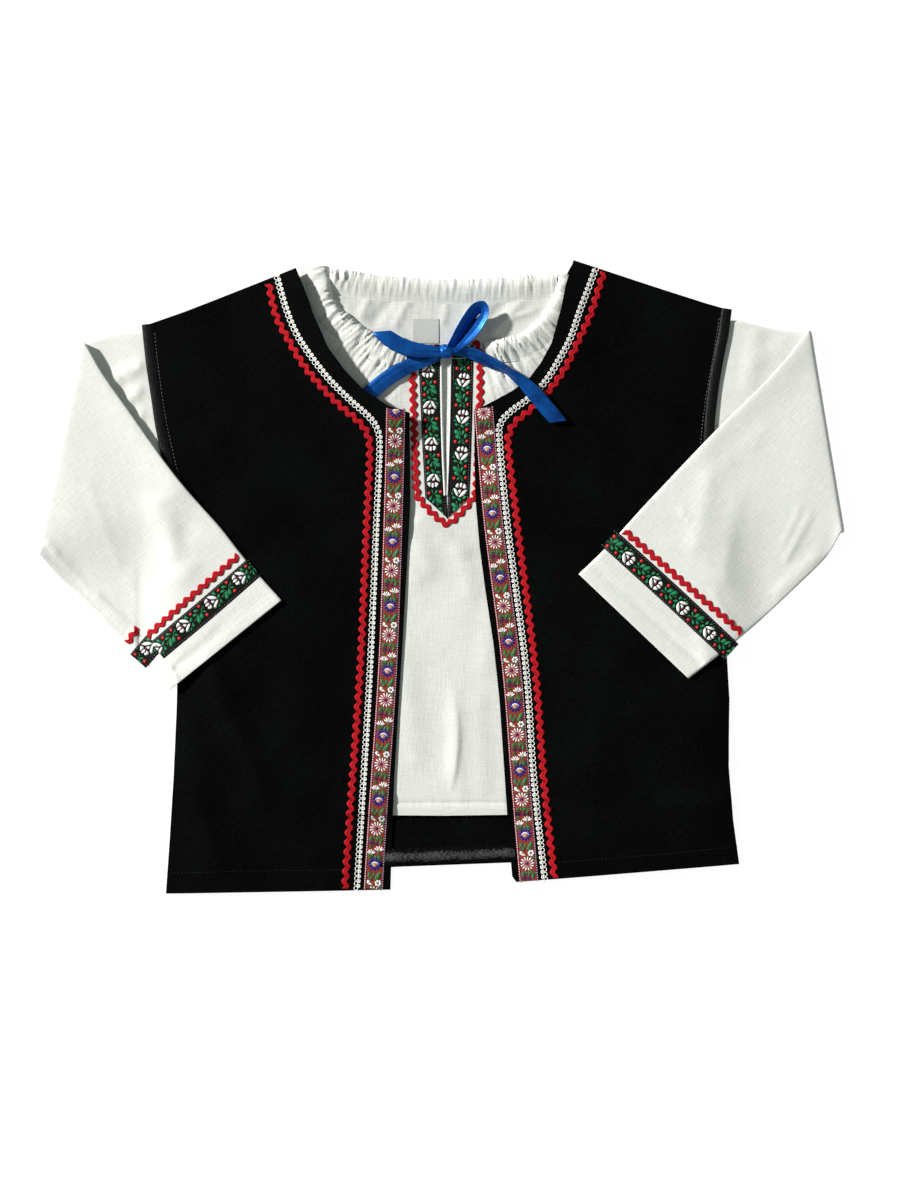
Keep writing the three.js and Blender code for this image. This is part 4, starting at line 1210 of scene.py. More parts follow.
# %% Looped braids
PICOT_ROUTES = {
    "vest_picot_left": [
        (-106.8, 197), (-101, 176.7), (-94.1, 160.1), (-84.3, 144.9), (-72.3, 129.8), (-58.5, 116.2),
        (-46.5, 105.5), (-41, 97), (-39.6, 84.2), (-41.8, 33.3), (-46, -61.7), (-51.6, -156), (-54.6, -205),
    ],
    "vest_picot_right": [
        (101.8, 203), (97.4, 191.1), (91.4, 175.5), (85.5, 158.3), (77.5, 142.9), (69.6, 130.3),
        (60.5, 120), (46.4, 109.6), (39.8, 102.2), (38.6, 91), (44, 33.3), (56, -59.7), (61.2, -131.7),
        (68.4, -199),
    ],
}
braid_white = plain("white looped braid", (0.9, 0.9, 0.87), (0.76, 0.76, 0.73), 0.8, 0.4 * MM, 0.3)
picot = repeat_tree("looped braid", loop_pair, [braid_white], 3.2 * MM)
for node, table in PICOT_ROUTES.items():
    route = smooth(table)
    if node.endswith("left"):
        route.reverse()
    braid = grow(f"{node}_braid", route, picot, "white_braid", [node])
    drop(braid, VEST_SKIN)
    print(node, "faces:", len(braid.data.polygons))

# %% [markdown]
# ## Woven ribbons
# A jacquard ribbon has a ground weave with selvedges, and the coloured threads float over it as small
# raised shapes. The ground is a flat band swept along its route. The motifs are charted for one
# repeat, in mm and degrees: a row gives the thread, the shape, its centre along and across the ribbon, its
# length, width and turn.


# %% Ground band
def band_tree(name, finish, width, thickness):
    """A flat band whose two edges are a little thinner than its middle."""
    tree = Tree(name, Width=width, Thickness=thickness)
    section = tree.add("GeometryNodeCurvePrimitiveQuadrilateral", None, {"Width": 2.0, "Height": 1.0})
    section = tree.add("GeometryNodeSubdivideCurve", None, {"Curve": section, "Cuts": 7})
    band = tree.swept(tree.sampled(1.6 * MM), section)
    across = tree.read("across", "FLOAT")
    offset = across * tree.sizes["Width"] * 0.5
    edge = 1 - across.math("ABSOLUTE").math("POWER", 8.0) * 0.5
    height = (tree.read("rise", "FLOAT") + 0.5) * tree.sizes["Thickness"] * edge
    return tree.close(tree.shaped(band, offset, height), [finish])


ROSE_WIDTH = 14.0 * MM
FLOWER_WIDTH = 12.6 * MM
RIBBON_THICKNESS = 0.55 * MM
print("ribbon widths in mm:", [round(width / MM, 1) for width in (ROSE_WIDTH, FLOWER_WIDTH)])


# %% Shapes of floated thread
def leaf(length, width, blunt=1.0):
    """A leaf or petal outline along X, pointed at both ends, or blunt at its far end above 1."""
    upper = []
    for k in range(1, 5):
        s = k / 5
        upper.append(((s - 0.5) * length, 0.5 * width * math.sin(math.pi * s ** blunt) ** 0.8))
    return [(-0.5 * length, 0), *[(x, -y) for x, y in upper], (0.5 * length, 0), *reversed(upper)]


def disc(length, width):
    turns = [2 * math.pi * k / 9 for k in range(9)]
    return [(0.5 * length * math.cos(t), 0.5 * width * math.sin(t)) for t in turns]


def arch(length, width, sweep=150):
    """A crescent that opens towards -X: length is its chord and width its thickness."""
    radius = 0.5 * length / math.sin(math.radians(sweep) / 2)
    outer, inner = [], []
    for k in range(7):
        turn = math.radians(sweep) * (k / 6 - 0.5)
        swell = 0.5 * width * math.sin(math.pi * (k + 0.4) / 6.8)
        outer.append(((radius + swell) * math.cos(turn) - radius, (radius + swell) * math.sin(turn)))
        inner.append(((radius - swell) * math.cos(turn) - radius, (radius - swell) * math.sin(turn)))
    return [*outer, *reversed(inner)]


SHAPES = {"dot": disc, "arch": arch, "petal": lambda length, width: leaf(length, width, 1.6)}
print("points of each outline:", {name: len(shape(2, 1)) for name, shape in SHAPES.items()})


# %% One repeat of a ribbon
CUSHION_EDGE = 0.14 * MM


def motif_unit(name, threads, chart, rise=0.3 * MM):
    """One repeat of a ribbon's floated threads, as low cushions. Later rows of the chart lie higher."""
    work = bmesh.new()
    layer = work.faces.layers.float.new("thread")
    for row, (thread, shape, along, across, length, width, turn) in enumerate(chart):
        cosine, sine = math.cos(math.radians(turn)), math.sin(math.radians(turn))
        outline = shape if isinstance(shape, list) else SHAPES[shape](length, width)
        if sum(a[0] * b[1] - b[0] * a[1] for a, b in zip(outline, [*outline[1:], outline[0]])) < 0:
            outline = outline[::-1]
        corners = []
        for x, y in outline:
            u, v = along + x * cosine - y * sine, across + x * sine + y * cosine
            corners.append(work.verts.new((u * MM, v * MM, 0)))
        top = work.faces.new(corners)
        top.normal_update()
        height = rise * (0.45 + 0.55 * row / len(chart))
        sides = bmesh.ops.inset_individual(work, faces=[top], thickness=CUSHION_EDGE, depth=height)["faces"]
        base = work.faces.new(corners[::-1])
        for face in (top, base, *sides):
            face[layer] = threads.index(thread)
    return bpy.data.objects.new(name, mesh_from(work, name))


def leaf_rows(leaves, thread="green"):
    """Leaves from their two ends and width, as rows of a chart."""
    rows = []
    for u1, v1, u2, v2, width in leaves:
        length = math.hypot(u2 - u1, v2 - v1)
        turn = math.degrees(math.atan2(v2 - v1, u2 - u1))
        rows.append((thread, "petal", (u1 + u2) / 2, (v1 + v2) / 2, length, width, turn))
    return rows


print("a leaf as a row of a chart:", leaf_rows([(0, 0, 4, 0, 1.2)])[0])

# %% [markdown]
# ## The rose ribbon
# Black ground, white roses with a dark red heart, green sprigs and red berries, at a repeat of 24.1 mm. It
# edges the placket and both sleeves. Along each selvedge runs a line of grey dashes.

# %% Rose ribbon chart
ROSE_REPEAT = 24.1
ROSE_THREADS = ["white", "green", "berry", "heart", "seed"]
LEAVES = [
    (5.6, -3.3, 9.4, -0.8, 0.6), (9.4, -0.7, 15.6, 0.9, 0.6), (5.5, -3.2, 7.1, -0.9, 0.8),
    (8.9, -0.8, 6.2, 1.6, 1.4), (9.0, -0.6, 11.6, 3.5, 2.7), (11.5, -0.2, 15.0, 4.4, 2.8),
    (9.4, -2.1, 12.9, -4.1, 2.0), (11.5, -0.8, 15.3, -2.1, 1.8), (14.4, 0.6, 16.6, 1.4, 0.9),
    (16.2, -2.2, 18.8, 0.3, 2.0), (18.0, -2.3, 19.9, -5.3, 2.1), (18.2, 0.9, 19.0, 4.2, 2.0),
    (20.3, 2.8, 22.0, 4.9, 1.2), (22.7, 3.1, 24.0, 4.3, 1.0),
]
ROSE_PETALS = [
    [
        (-4.7, 1.0), (-4.5, -0.8), (-3.8, -2.2), (-2.2, -3.7), (0.2, -4.4), (-0.2, -2.8), (-1.0, -1.5),
        (-3.2, 0.1),
    ],
    [(-4.6, 1.4), (-3.6, 2.8), (-1.6, 3.9), (0.9, 4.6), (0.3, 2.9), (-1.4, 1.9), (-3.2, 1.3)],
    [(-0.5, -0.8), (-2.7, 0.8), (-0.6, 1.5), (0.1, 0.4)],
    [(1.3, -4.1), (0.8, -2.8), (1.2, -1.3), (2.6, -1.8), (4.2, -2.2), (3.0, -3.5)],
    [(1.4, -0.8), (1.5, 0.2), (3.0, 0.7), (4.5, -0.1), (4.6, -0.9), (3.2, -1.4)],
    [(1.2, 0.9), (1.5, 3.1), (2.8, 3.3), (4.4, 1.9), (3.7, 0.9), (2.6, 1.3)],
]
ROSE_CHART = [
    *leaf_rows(LEAVES),
    *[("white", petal, 0, -1.05, 0, 0, 0) for petal in ROSE_PETALS],
    ("heart", "dot", 0.35, -1.3, 1.5, 2.2, 0), ("seed", "dot", 0.3, -1.55, 0.9, 1.0, 0),
    ("berry", "dot", 8.0, -4.2, 2.3, 2.1, 0), ("berry", "dot", 7.4, 3.4, 2.4, 2.2, 0),
    ("berry", "dot", 15.5, -3.9, 2.3, 2.1, 0),
]
print("rows of the rose chart:", len(ROSE_CHART))

# %% Threads and the rose ribbon's trees
thread_finish = {
    "white": plain("white floated thread", (0.85, 0.85, 0.84), (0.66, 0.67, 0.67), 0.5),
    "green": plain("green floated thread", (0.02, 0.26, 0.1), (0.006, 0.12, 0.045), 0.5),
    "berry": plain("berry red thread", (0.68, 0.035, 0.015), (0.45, 0.014, 0.008), 0.5),
    "heart": plain("dark red thread", (0.13, 0.003, 0.008), (0.05, 0.002, 0.004), 0.5),
    "seed": plain("red seed thread", (0.5, 0.012, 0.02), (0.3, 0.006, 0.01), 0.5),
    "violet": plain("violet thread", (0.016, 0.018, 0.24), (0.005, 0.006, 0.1), 0.5),
    "plum": plain("plum thread", (0.1, 0.015, 0.13), (0.04, 0.006, 0.05), 0.5),
    "cream": plain("cream thread", (0.55, 0.33, 0.26), (0.4, 0.2, 0.16), 0.5),
    "blush": plain("blush thread", (0.62, 0.27, 0.29), (0.4, 0.11, 0.14), 0.5),
    "olive": plain("olive thread", (0.12, 0.1, 0.035), (0.05, 0.045, 0.014), 0.6),
    "grey": plain("grey thread", (0.3, 0.3, 0.31), (0.15, 0.15, 0.155), 0.5),
    "brick": plain("brick red thread", (0.5, 0.05, 0.035), (0.3, 0.02, 0.015), 0.6),
}
ribbon_black = cloth(
    "black ribbon ground", (0.0065, 0.0065, 0.0065), (0.0015, 0.0015, 0.0015), 0.6,
    pitch=0.45 * MM, run=4 * MM, bump=0.35,
)
rose_band = band_tree("rose ribbon ground", ribbon_black, ROSE_WIDTH, RIBBON_THICKNESS)
rose_unit = motif_unit("rose repeat", ROSE_THREADS, ROSE_CHART)
rose_tree = repeat_tree("rose repeat", rose_unit, [thread_finish[t] for t in ROSE_THREADS], ROSE_REPEAT * MM)
grey_dashes = stitch_tree("grey dashes", thread_finish["grey"])
print("faces of one rose repeat:", len(rose_unit.data.polygons))


# %% [markdown]
# ## Laying a ribbon
# A ribbon is cut from a roll, so its motifs start anywhere in their repeat and are cut off at both ends.
# The repeats are laid from before the route's start to past its end, and planes cut off the rest. The
# placket's two ribbons are cut once more, on the slant, where they meet in a point.


# %% Cutting and laying a ribbon
END_INSET = 0.2 * MM


def cut(piece, planes, closed=False):
    """Cuts a piece by planes, each a place and the way off it, and closes the holes where asked."""
    work = bmesh.new()
    work.from_mesh(piece.data)
    for place, outward in planes:
        parts = [*work.verts, *work.edges, *work.faces]
        result = bmesh.ops.bisect_plane(
            work, geom=parts, dist=1e-7, plane_co=place, plane_no=outward, clear_outer=True
        )
        if closed:
            rim = [part for part in result["geom_cut"] if isinstance(part, bmesh.types.BMEdge)]
            bmesh.ops.holes_fill(work, edges=rim)
    work.to_mesh(piece.data)
    work.free()
    return piece


def cut_ends(piece, route):
    """Cuts off what reaches past a route's two ends."""
    ends = ((route[0], route[1]), (route[-1], route[-2]))
    ways = [(end, (end - inner).normalized()) for end, inner in ends]
    return cut(piece, [(end - outward * END_INSET, outward) for end, outward in ways])


def lengthened(route, by):
    first = route[0] + (route[0] - route[1]).normalized() * by
    last = route[-1] + (route[-1] - route[-2]).normalized() * by
    return [first, *route, last]


def lay_motifs(name, route, tree, repeat, first, slot):
    """Repeats a motif from a place along a route, which may lie before its start, and cuts the ends."""
    spare = 2 * repeat * MM
    longer = lengthened(route, spare)
    count = math.ceil((length_of(route) / MM - first) / repeat)
    start = spare + first * MM
    part = stretch(longer, start, start + (count * repeat + 0.05) * MM)
    return cut_ends(grow(name, part, tree, slot), route)


# A ribbon's route, and the place in mm along it where the first repeat begins.
ROSE_ROUTES = {
    "placket_ribbon_left": ([(-7.8, 153.4), (-6.4, 120), (-4.9, 86), (-3.2, 56), (-2.5, 38)], -6.6),
    "placket_ribbon_right": ([(11.3, 38), (12.1, 56), (13.2, 86), (14.1, 120), (14.9, 153.4)], -4.3),
    "sleeve_ribbon_left": ([(-122.6, 6.6), (-154.6, -21.2), (-186.6, -48)], -12.0),
    "sleeve_ribbon_left_seam": ([(-188.6, -42.8), (-199.4, -55.2)], -18.0),
    "sleeve_ribbon_right": ([(110.6, 25.8), (150, -10), (191.6, -49)], -29.4),
}
# The placket's two ribbons are cut on the slant, a place on the cut and the way off it for each.
SLANTS = {
    "placket_ribbon_left": (-3.3, 46.2, -0.68, -0.73),
    "placket_ribbon_right": (11.7, 45.7, 0.69, -0.72),
}


def cut_slant(piece, node):
    """Cuts a placket ribbon's lower end on the slant, and closes it."""
    if node not in SLANTS:
        return piece
    x, y, out_x, out_y = SLANTS[node]
    return cut(piece, [(Vector((x, y, 0)) * MM, (out_x, out_y, 0))], closed=True)


def lay_ribbon(node, table, band, motifs, dashes, sink):
    """Lays a ribbon's ground, its motifs, and the rows of dashes along both its selvedges.

    Motifs are a name, a tree, its repeat and where the first begins. A row of dashes has a name, a tree, its
    way from the middle in mm, and its sizes. The dashes sink into the ground, by the sink in mm.
    """
    route = smooth(table)
    slot = "rose_ribbon" if band is rose_band else "flower_ribbon"
    ground = drop(cut_slant(grow(f"{node}_ground", route, band, slot, [node]), node), skin_for(node))
    ribbon_skin = skin_of(ground)
    motif_name, tree, repeat, first = motifs
    floated = lay_motifs(f"{node}_{motif_name}", route, tree, repeat, first, slot)
    woven = [drop(cut_slant(floated, node), ribbon_skin)]
    for edge in (-1, 1):
        for name, thread, way, sizes in dashes:
            line_name = f"{node}_{name}_{edge > 0:d}"
            line = grow(line_name, beside(route, edge * way * MM), thread, slot, **sizes)
            woven.append(drop(cut_slant(line, node), ribbon_skin, -sink * MM))
    length_of(route)
    print(node, "length in mm:", round(length_of(route) / MM))


GREY_ROWS = [("dashes", grey_dashes, 6.0, {"Pitch": 1.9 * MM, "Length": 1.3 * MM})]
for node, (table, first) in ROSE_ROUTES.items():
    lay_ribbon(node, table, rose_band, ("roses", rose_tree, ROSE_REPEAT, first), GREY_ROWS, 0.08)

# %% [markdown]
# ## The flower ribbon
# The vest's ribbon mixes brick red and olive in its ground. Its repeat of 42.6 mm has a violet flower, two
# small white ones, a blush daisy and two tulips between leaves. Petals round a centre come from a loop.


# %% Rosettes
def rosette(thread, along, across, count, inner, outer, width, start=0, sweep=360):
    """Petals of one flower, pointing outwards round a centre."""
    petals = []
    for k in range(count):
        turn = start + sweep * k / count
        reach = 0.5 * (inner + outer)
        u = along + reach * math.cos(math.radians(turn))
        v = across + reach * math.sin(math.radians(turn))
        petals.append((thread, "petal", u, v, outer - inner, width, turn))
    return petals


print("petals of a small rosette:", len(rosette("white", 0, 0, 5, 0.3, 2.3, 1.7)))

# %% Flower ribbon chart
FLOWER_REPEAT = 42.6
FLOWER_THREADS = ["violet", "cream", "green", "white", "blush", "plum", "olive"]
FLOWER_CHART = [
    *leaf_rows([
        (3.9, -4.4, 11.2, -1.2, 3.6), (4.4, 4.6, 11.4, 0.8, 4.0), (5.2, 0.0, 9.4, -0.8, 2.6),
        (23.2, -0.6, 28.4, -4.6, 3.6), (23.0, 0.8, 27.6, 4.6, 3.4), (24.4, 0.2, 28.6, 0.6, 2.4),
        (35.0, -0.8, 40.2, -4.4, 3.8), (34.6, 1.0, 40.4, 4.2, 4.0), (36.2, 0.2, 40.6, 0.2, 2.2),
        (13.6, -0.8, 16.2, 0.6, 3.0), (29.8, -4.8, 32.4, -2.0, 2.8), (13.8, 4.9, 17.0, 3.8, 1.6),
    ], "olive"),
    *rosette("violet", 0, 0, 11, 0.8, 4.7, 1.6),
    ("cream", "dot", 0.7, 0, 2.9, 3.5, 0), ("white", "arch", -1.2, 0, 5.2, 1.0, 180),
    *leaf_rows([(-0.4, -1.0, 0.4, 1.2, 0.6), (0.3, -0.4, 1.4, 0.3, 0.5)]),
    *leaf_rows([
        (9.6, 1.0, 4.8, 4.4, 1.9), (8.4, 0.2, 6.0, -0.6, 1.2), (10.6, 2.6, 8.8, 0.6, 1.4),
        (9.0, -4.6, 5.4, -2.6, 1.4), (10.4, -2.8, 8.6, -1.2, 1.2),
    ]),
    *rosette("white", 12.5, 2.9, 6, 0.3, 2.3, 1.7, 20), ("plum", "dot", 12.5, 2.9, 1.4, 1.5, 0),
    ("white", "petal", 12.4, -3.4, 3.6, 2.2, 200), ("white", "petal", 13.4, -1.9, 2.8, 1.5, 240),
    *leaf_rows([(13.6, -3.0, 12.0, -3.0, 1.0), (14.6, 3.2, 16.4, 4.6, 1.4), (14.8, -4.6, 13.2, -5.0, 1.0)]),
    *rosette("white", 19.3, 0, 13, 1.6, 4.9, 1.05, 8), *rosette("blush", 19.3, 0, 9, 0.6, 3.0, 1.0, 0),
    ("plum", "dot", 19.2, -0.3, 1.7, 2.1, 0),
    *leaf_rows([
        (24.6, 0.2, 26.6, 1.6, 2.0), (26.0, 3.6, 29.6, 2.6, 1.7), (24.4, -4.4, 26.6, -2.6, 1.6),
        (27.4, 4.8, 25.0, 5.0, 1.0), (26.8, -0.8, 24.6, -1.4, 1.2),
    ]),
    *rosette("plum", 28.6, -2.6, 5, 0.2, 1.9, 1.0, 10), *rosette("plum", 29.2, 0.6, 4, 0.2, 1.4, 0.9, 30),
    ("violet", "dot", 28.6, -2.6, 1.2, 1.2, 0), ("violet", "dot", 29.2, 0.6, 1.0, 1.0, 0),
    *rosette("white", 34.2, 2.5, 5, 0.2, 3.9, 1.1, 122, 145), ("cream", "petal", 32.6, 2.5, 2.8, 0.9, 180),
    *rosette("white", 36.4, -2.7, 5, 0.2, 3.6, 1.05, 122, 145), ("blush", "petal", 34.8, -2.7, 2.6, 0.8, 180),
    *leaf_rows([
        (35.4, 3.2, 33.8, 1.2, 1.2), (36.6, 1.0, 39.0, 3.6, 1.7), (38.0, -0.8, 36.2, -2.6, 1.4),
        (38.6, -3.6, 36.4, -4.6, 1.2), (39.0, 0.6, 37.0, 0.2, 1.2),
    ]),
]


print("rows of the flower chart:", len(FLOWER_CHART))

# %% Flower ribbon's trees
edge_thread = plain("pale pink edge thread", (0.8, 0.6, 0.64), (0.6, 0.38, 0.43), 0.5)
flower_ground = cloth(
    "red and olive ribbon ground", (0.36, 0.028, 0.026), (0.095, 0.038, 0.017), 0.65,
    pitch=0.5 * MM, run=1.6 * MM, streak=1.2, bump=0.35,
)
flower_band = band_tree("flower ribbon ground", flower_ground, FLOWER_WIDTH, RIBBON_THICKNESS)
flower_unit = motif_unit("flower repeat", FLOWER_THREADS, FLOWER_CHART)
flower_finishes = [thread_finish[t] for t in FLOWER_THREADS]
flower_tree = repeat_tree("flower repeat", flower_unit, flower_finishes, FLOWER_REPEAT * MM)
white_dashes = stitch_tree("white edge", edge_thread, 0.5 * MM)
plum_dashes = stitch_tree("plum edge", thread_finish["plum"], 0.4 * MM)
print("faces of one flower repeat:", len(flower_unit.data.polygons))

# %% Flower ribbons
FLOWER_ROUTES = {
    "vest_ribbon_left": (
        [(-29.2, 110.4), (-31.2, 33.3), (-34.8, -61.7), (-41.2, -156), (-44.2, -205.2)], 1.5,
    ),
    "vest_ribbon_right": (
        [(28.4, 111.4), (30.2, 90), (35.2, 33.3), (46.9, -59.7), (52.6, -131.7), (58.4, -200)], -16.0,
    ),
}
EDGE_ROWS = [
    ("plum_edge", plum_dashes, 5.4, {"Pitch": 1.6 * MM, "Length": 2.2 * MM, "Thickness": 0.9 * MM}),
    ("white_edge", white_dashes, 5.75, {"Pitch": 1.6 * MM, "Length": 1.25 * MM, "Thickness": 1.0 * MM}),
]
for node, (table, first) in FLOWER_ROUTES.items():
    flowers = ("flowers", flower_tree, FLOWER_REPEAT, first)
    lay_ribbon(node, table, flower_band, flowers, EDGE_ROWS, 0.1)
for unit in (rose_unit, flower_unit, loop_pair):
    bpy.data.objects.remove(unit)

# %% [markdown]
# ## Seams and hems
# Rows of stitches run just inside the hems, along the armholes and across the cuffs. Most are sewn in the
# cloth's own colour, so they show only by their small shadows. The armholes' stitches are grey on black.

# %% Stitch rows on hems and seams
VEST_SEAMS = {
    "vest_hem_left": ([(-180, -195), (-125.7, -193.4), (-66, -192.8)], black_stitches),
    "vest_hem_right": ([(78, -187.6), (138.3, -183), (195.4, -177.4)], black_stitches),
    "armhole_left": ([(-188, 160), (-186, 140), (-181, 105), (-174.6, 76), (-171, 60)], grey_dashes),
    "armhole_right": ([(183.4, 170), (180, 148), (174.8, 118), (171.4, 88), (172, 62)], grey_dashes),
}
SHIRT_SEAMS = {
    "shirt_hem": ([(-35, -148.4), (0, -149.2), (46, -147.6)], SHIRT_SKIN),
    "cuff_left": ([(-112, -7.4), (-146, -36), (-176, -61.6)], SLEEVE_SKIN),
    "cuff_right": ([(99.6, 9.8), (136, -24), (171, -56.4)], SLEEVE_SKIN),
}
STITCH_SINK = 0.1 * MM
for name, (table, tree) in VEST_SEAMS.items():
    drop(grow(f"{name}_stitches", smooth(table), tree, "black_cloth"), VEST_SKIN, -STITCH_SINK)
for name, (table, skin) in SHIRT_SEAMS.items():
    drop(grow(f"{name}_stitches", smooth(table), white_stitches, "white_cloth"), skin, -STITCH_SINK)
print("stitch rows:", len(VEST_SEAMS) + len(SHIRT_SEAMS))

# %% [markdown]
# ## The satin bow
# Satin ribbon is thin, smooth and springy, so it is modelled as a strip whose width direction turns along
# its way. A row of the table gives the middle line, the direction across, and the width, because a ribbon
# that is pinched at the knot or twisted shows narrower. A Solidify and a Subdivision finish it.

# %% Bow ribbon
FULL_WIDTH = 11.5
STEPS, SPLITS = 4, 8
CROWN, PINCHED_FOLD = 0.9, 1.9
# The bow's light and dark tones, mixed in large patches, are painted sheen and painted shade.
satin_blue = cloth(
    "blue satin", (0.006, 0.15, 0.62), (0.0007, 0.02, 0.13), 0.36,
    pitch=0.35 * MM, run=12 * MM, streak=0.3, bump=0.15, patch=(80.0, 1.3), **{SHINE: 0.4, "Metallic": 0.65},
)


def ribbon_row(work, values):
    """One row of points across a ribbon: crowned where it is full, and folded lengthwise where pinched."""
    middle = Vector(values[:3]) * MM
    width = values[6]
    across = Vector(values[3:6]).normalized() * width * MM
    pinch = max(1 - width / FULL_WIDTH, 0)
    row = []
    for u in (k / SPLITS - 0.5 for k in range(SPLITS + 1)):
        crown = CROWN * (1 - (2 * u) ** 2) + PINCHED_FOLD * pinch * math.cos(5 * math.pi * u + 1.3)
        row.append(work.verts.new(middle + across * u + UP * crown * MM))
    return row


def ribbon_strip(name, table, node, thickness=0.5 * MM):
    """A ribbon through rows of x, y, z, then x, y, z of the direction across, then the width, in mm."""
    work = bmesh.new()
    rows = []
    last = len(table) - 1
    for k in range(last * STEPS + 1):
        i = min(k // STEPS, last - 1)
        span = [table[min(max(i + j, 0), last)] for j in (-1, 0, 1, 2)]
        rows.append(ribbon_row(work, [curved(*values, k / STEPS - i) for values in zip(*span)]))
    for a, b in zip(rows, rows[1:]):
        for j in range(SPLITS):
            work.faces.new((a[j], b[j], b[j + 1], a[j + 1]))
    bmesh.ops.recalc_face_normals(work, faces=work.faces)
    piece = piece_from(work, name, satin_blue, "blue_satin", node)
    body = piece.modifiers.new("thickness", "SOLIDIFY")
    body.thickness = thickness
    body.offset = 0
    soft = piece.modifiers.new("soft", "SUBSURF")
    soft.levels = soft.render_levels = 1
    widths = [row[6] * MM for row in table]
    long = length_of([Vector(row[:3]) * MM for row in table])
    area = long * sum(widths) / len(widths)
    print(name, "length in mm:", round(long / MM))


# %% Bow's upper and lower parts
LOOP_RIGHT = [
    (5.0, 149.6, 10.0, 0.66, -0.3, -0.7, 5), (9.2, 155, 9.6, 0.64, -0.3, -0.7, 8.5),
    (13.8, 162.4, 9.2, 0.65, -0.3, -0.7, 10.8), (18.4, 170, 9.4, 0.62, -0.38, -0.69, 10.8),
    (23.2, 176.2, 9.8, 0.36, -0.66, -0.66, 10.6), (27.6, 177.4, 10.2, -0.24, -0.74, -0.63, 10.4),
    (28.6, 173.4, 10, -0.66, -0.3, -0.68, 10.6), (24.8, 166.4, 9.4, -0.66, 0.3, -0.69, 10.8),
    (19.4, 159.4, 9.4, -0.64, 0.34, -0.69, 10.4), (13.6, 153.2, 9.8, -0.55, 0.4, -0.7, 8),
    (8.4, 148.6, 10.4, -0.5, 0.4, -0.7, 5),
]
LOOP_LEFT = [
    (0.6, 148.4, 11.4, -0.06, -0.95, 0.1, 6), (-9.8, 148.6, 12, -0.2, -0.97, 0.06, 9),
    (-19.2, 150, 12, -0.46, -0.88, 0.1, 10.6), (-28.6, 153.6, 11.6, -0.72, -0.68, 0.1, 11.2),
    (-36.4, 159.4, 11, -0.94, -0.3, 0.06, 11.8), (-38.3, 161.6, 9.9, -1, -0.08, 0.02, 12.2),
    (-36.8, 159.6, 8.7, -0.94, -0.3, 0, 11.8), (-28.6, 153.2, 8.4, -0.72, -0.68, 0, 11),
    (-17, 149.4, 8.6, -0.42, -0.9, 0, 10), (-6, 148.2, 9, -0.16, -0.97, 0, 8), (1.4, 148, 9.4, 0, -1, 0, 5),
]
TAIL_LEFT = [
    (0.6, 146.4, 8.8, -0.16, 0.9, 0.3, 5), (-6, 144.6, 7.4, -0.2, 0.96, 0.12, 8.4),
    (-14, 142.2, 6.5, -0.26, 0.95, 0, 10.2), (-24, 137.8, 6.3, -0.46, 0.88, 0, 10.4),
    (-35, 131, 6.3, -0.58, 0.81, 0, 10.4), (-44, 123.6, 6.3, -0.66, 0.75, 0, 10.4),
    (-52, 116.6, 6.3, -0.7, 0.71, 0, 10.4),
]
TAIL_RIGHT = [
    (6, 148.2, 9.4, 0.1, 0.8, 0.5, 4.5), (13.6, 148.6, 9.4, 0.16, 0.8, 0.5, 7.6),
    (22.4, 146.6, 9.4, 0.34, 0.8, 0.4, 8.6), (33, 141.4, 10, 0.42, 0.76, 0.5, 8.4),
    (43.6, 136, 11.2, 0.3, 0.4, 0.9, 9), (53, 129.2, 11.8, 0.56, 0.66, 0.6, 9.6),
    (62, 120.4, 11.4, 0.7, 0.66, 0.24, 10.4), (70, 111, 10.8, 0.84, 0.52, 0.06, 10.6),
    (77.6, 102, 10.6, 0.99, 0.14, 0, 11.4),
]
ribbon_strip("bow_upper_right", LOOP_RIGHT, "bow_loop_right")
ribbon_strip("bow_upper_left", LOOP_LEFT, "bow_loop_left")
ribbon_strip("bow_lower_left", TAIL_LEFT, "bow_tail_left")
ribbon_strip("bow_lower_right", TAIL_RIGHT, "bow_tail_right")


# %% Bow knot
KNOT_SIZE = (10.4, 9.6, 6.4)
KNOT_CENTRE = (3.6, 148.6, 10)


def knot():
    """A short wrap of ribbon round the bow's middle: a rounded form with uneven folds over it."""
    work = bmesh.new()
    bmesh.ops.create_uvsphere(work, u_segments=24, v_segments=14, radius=0.5)
    for v in work.verts:
        turn = math.atan2(v.co.y, v.co.x)
        fold = 1 + 0.07 * math.sin(3 * turn + 9 * v.co.z) + 0.05 * math.sin(14 * v.co.y)
        sides = zip(v.co, KNOT_SIZE, KNOT_CENTRE)
        v.co = Vector([part * size * fold + middle for part, size, middle in sides]) * MM
    return piece_from(work, "bow_middle", satin_blue, "blue_satin", "bow_knot")


print("knot faces:", len(knot().data.polygons))

# %% [markdown]
# ## Slit edges and tacking
# The slit's two edges are rolled in white, so they stand a little above the ribbons. One loose thread still
# tacks the ribbons together across the slit, as it does on a set that has never been worn.


# %% Rolled edges and a tacking thread
def cord(name, points, width, height, finish, slot):
    """A rounded roll along points in metres, flat on its underside."""
    route = spaced(points, 1.5 * MM)
    ways = [-1, -0.8, -0.4, 0, 0.4, 0.8, 1]
    lines = [beside(route, w * width / 2) for w in ways]
    tops, bottoms = [], []
    for row in zip(*lines):
        rises = [0.25 + 0.75 * math.sqrt(1 - w * w * 0.96) for w in ways]
        tops.append([point + UP * height * rise for point, rise in zip(row, rises)])
        bottoms.append([point.copy() for point in row])
    return shell(name, tops, bottoms, finish, slot)


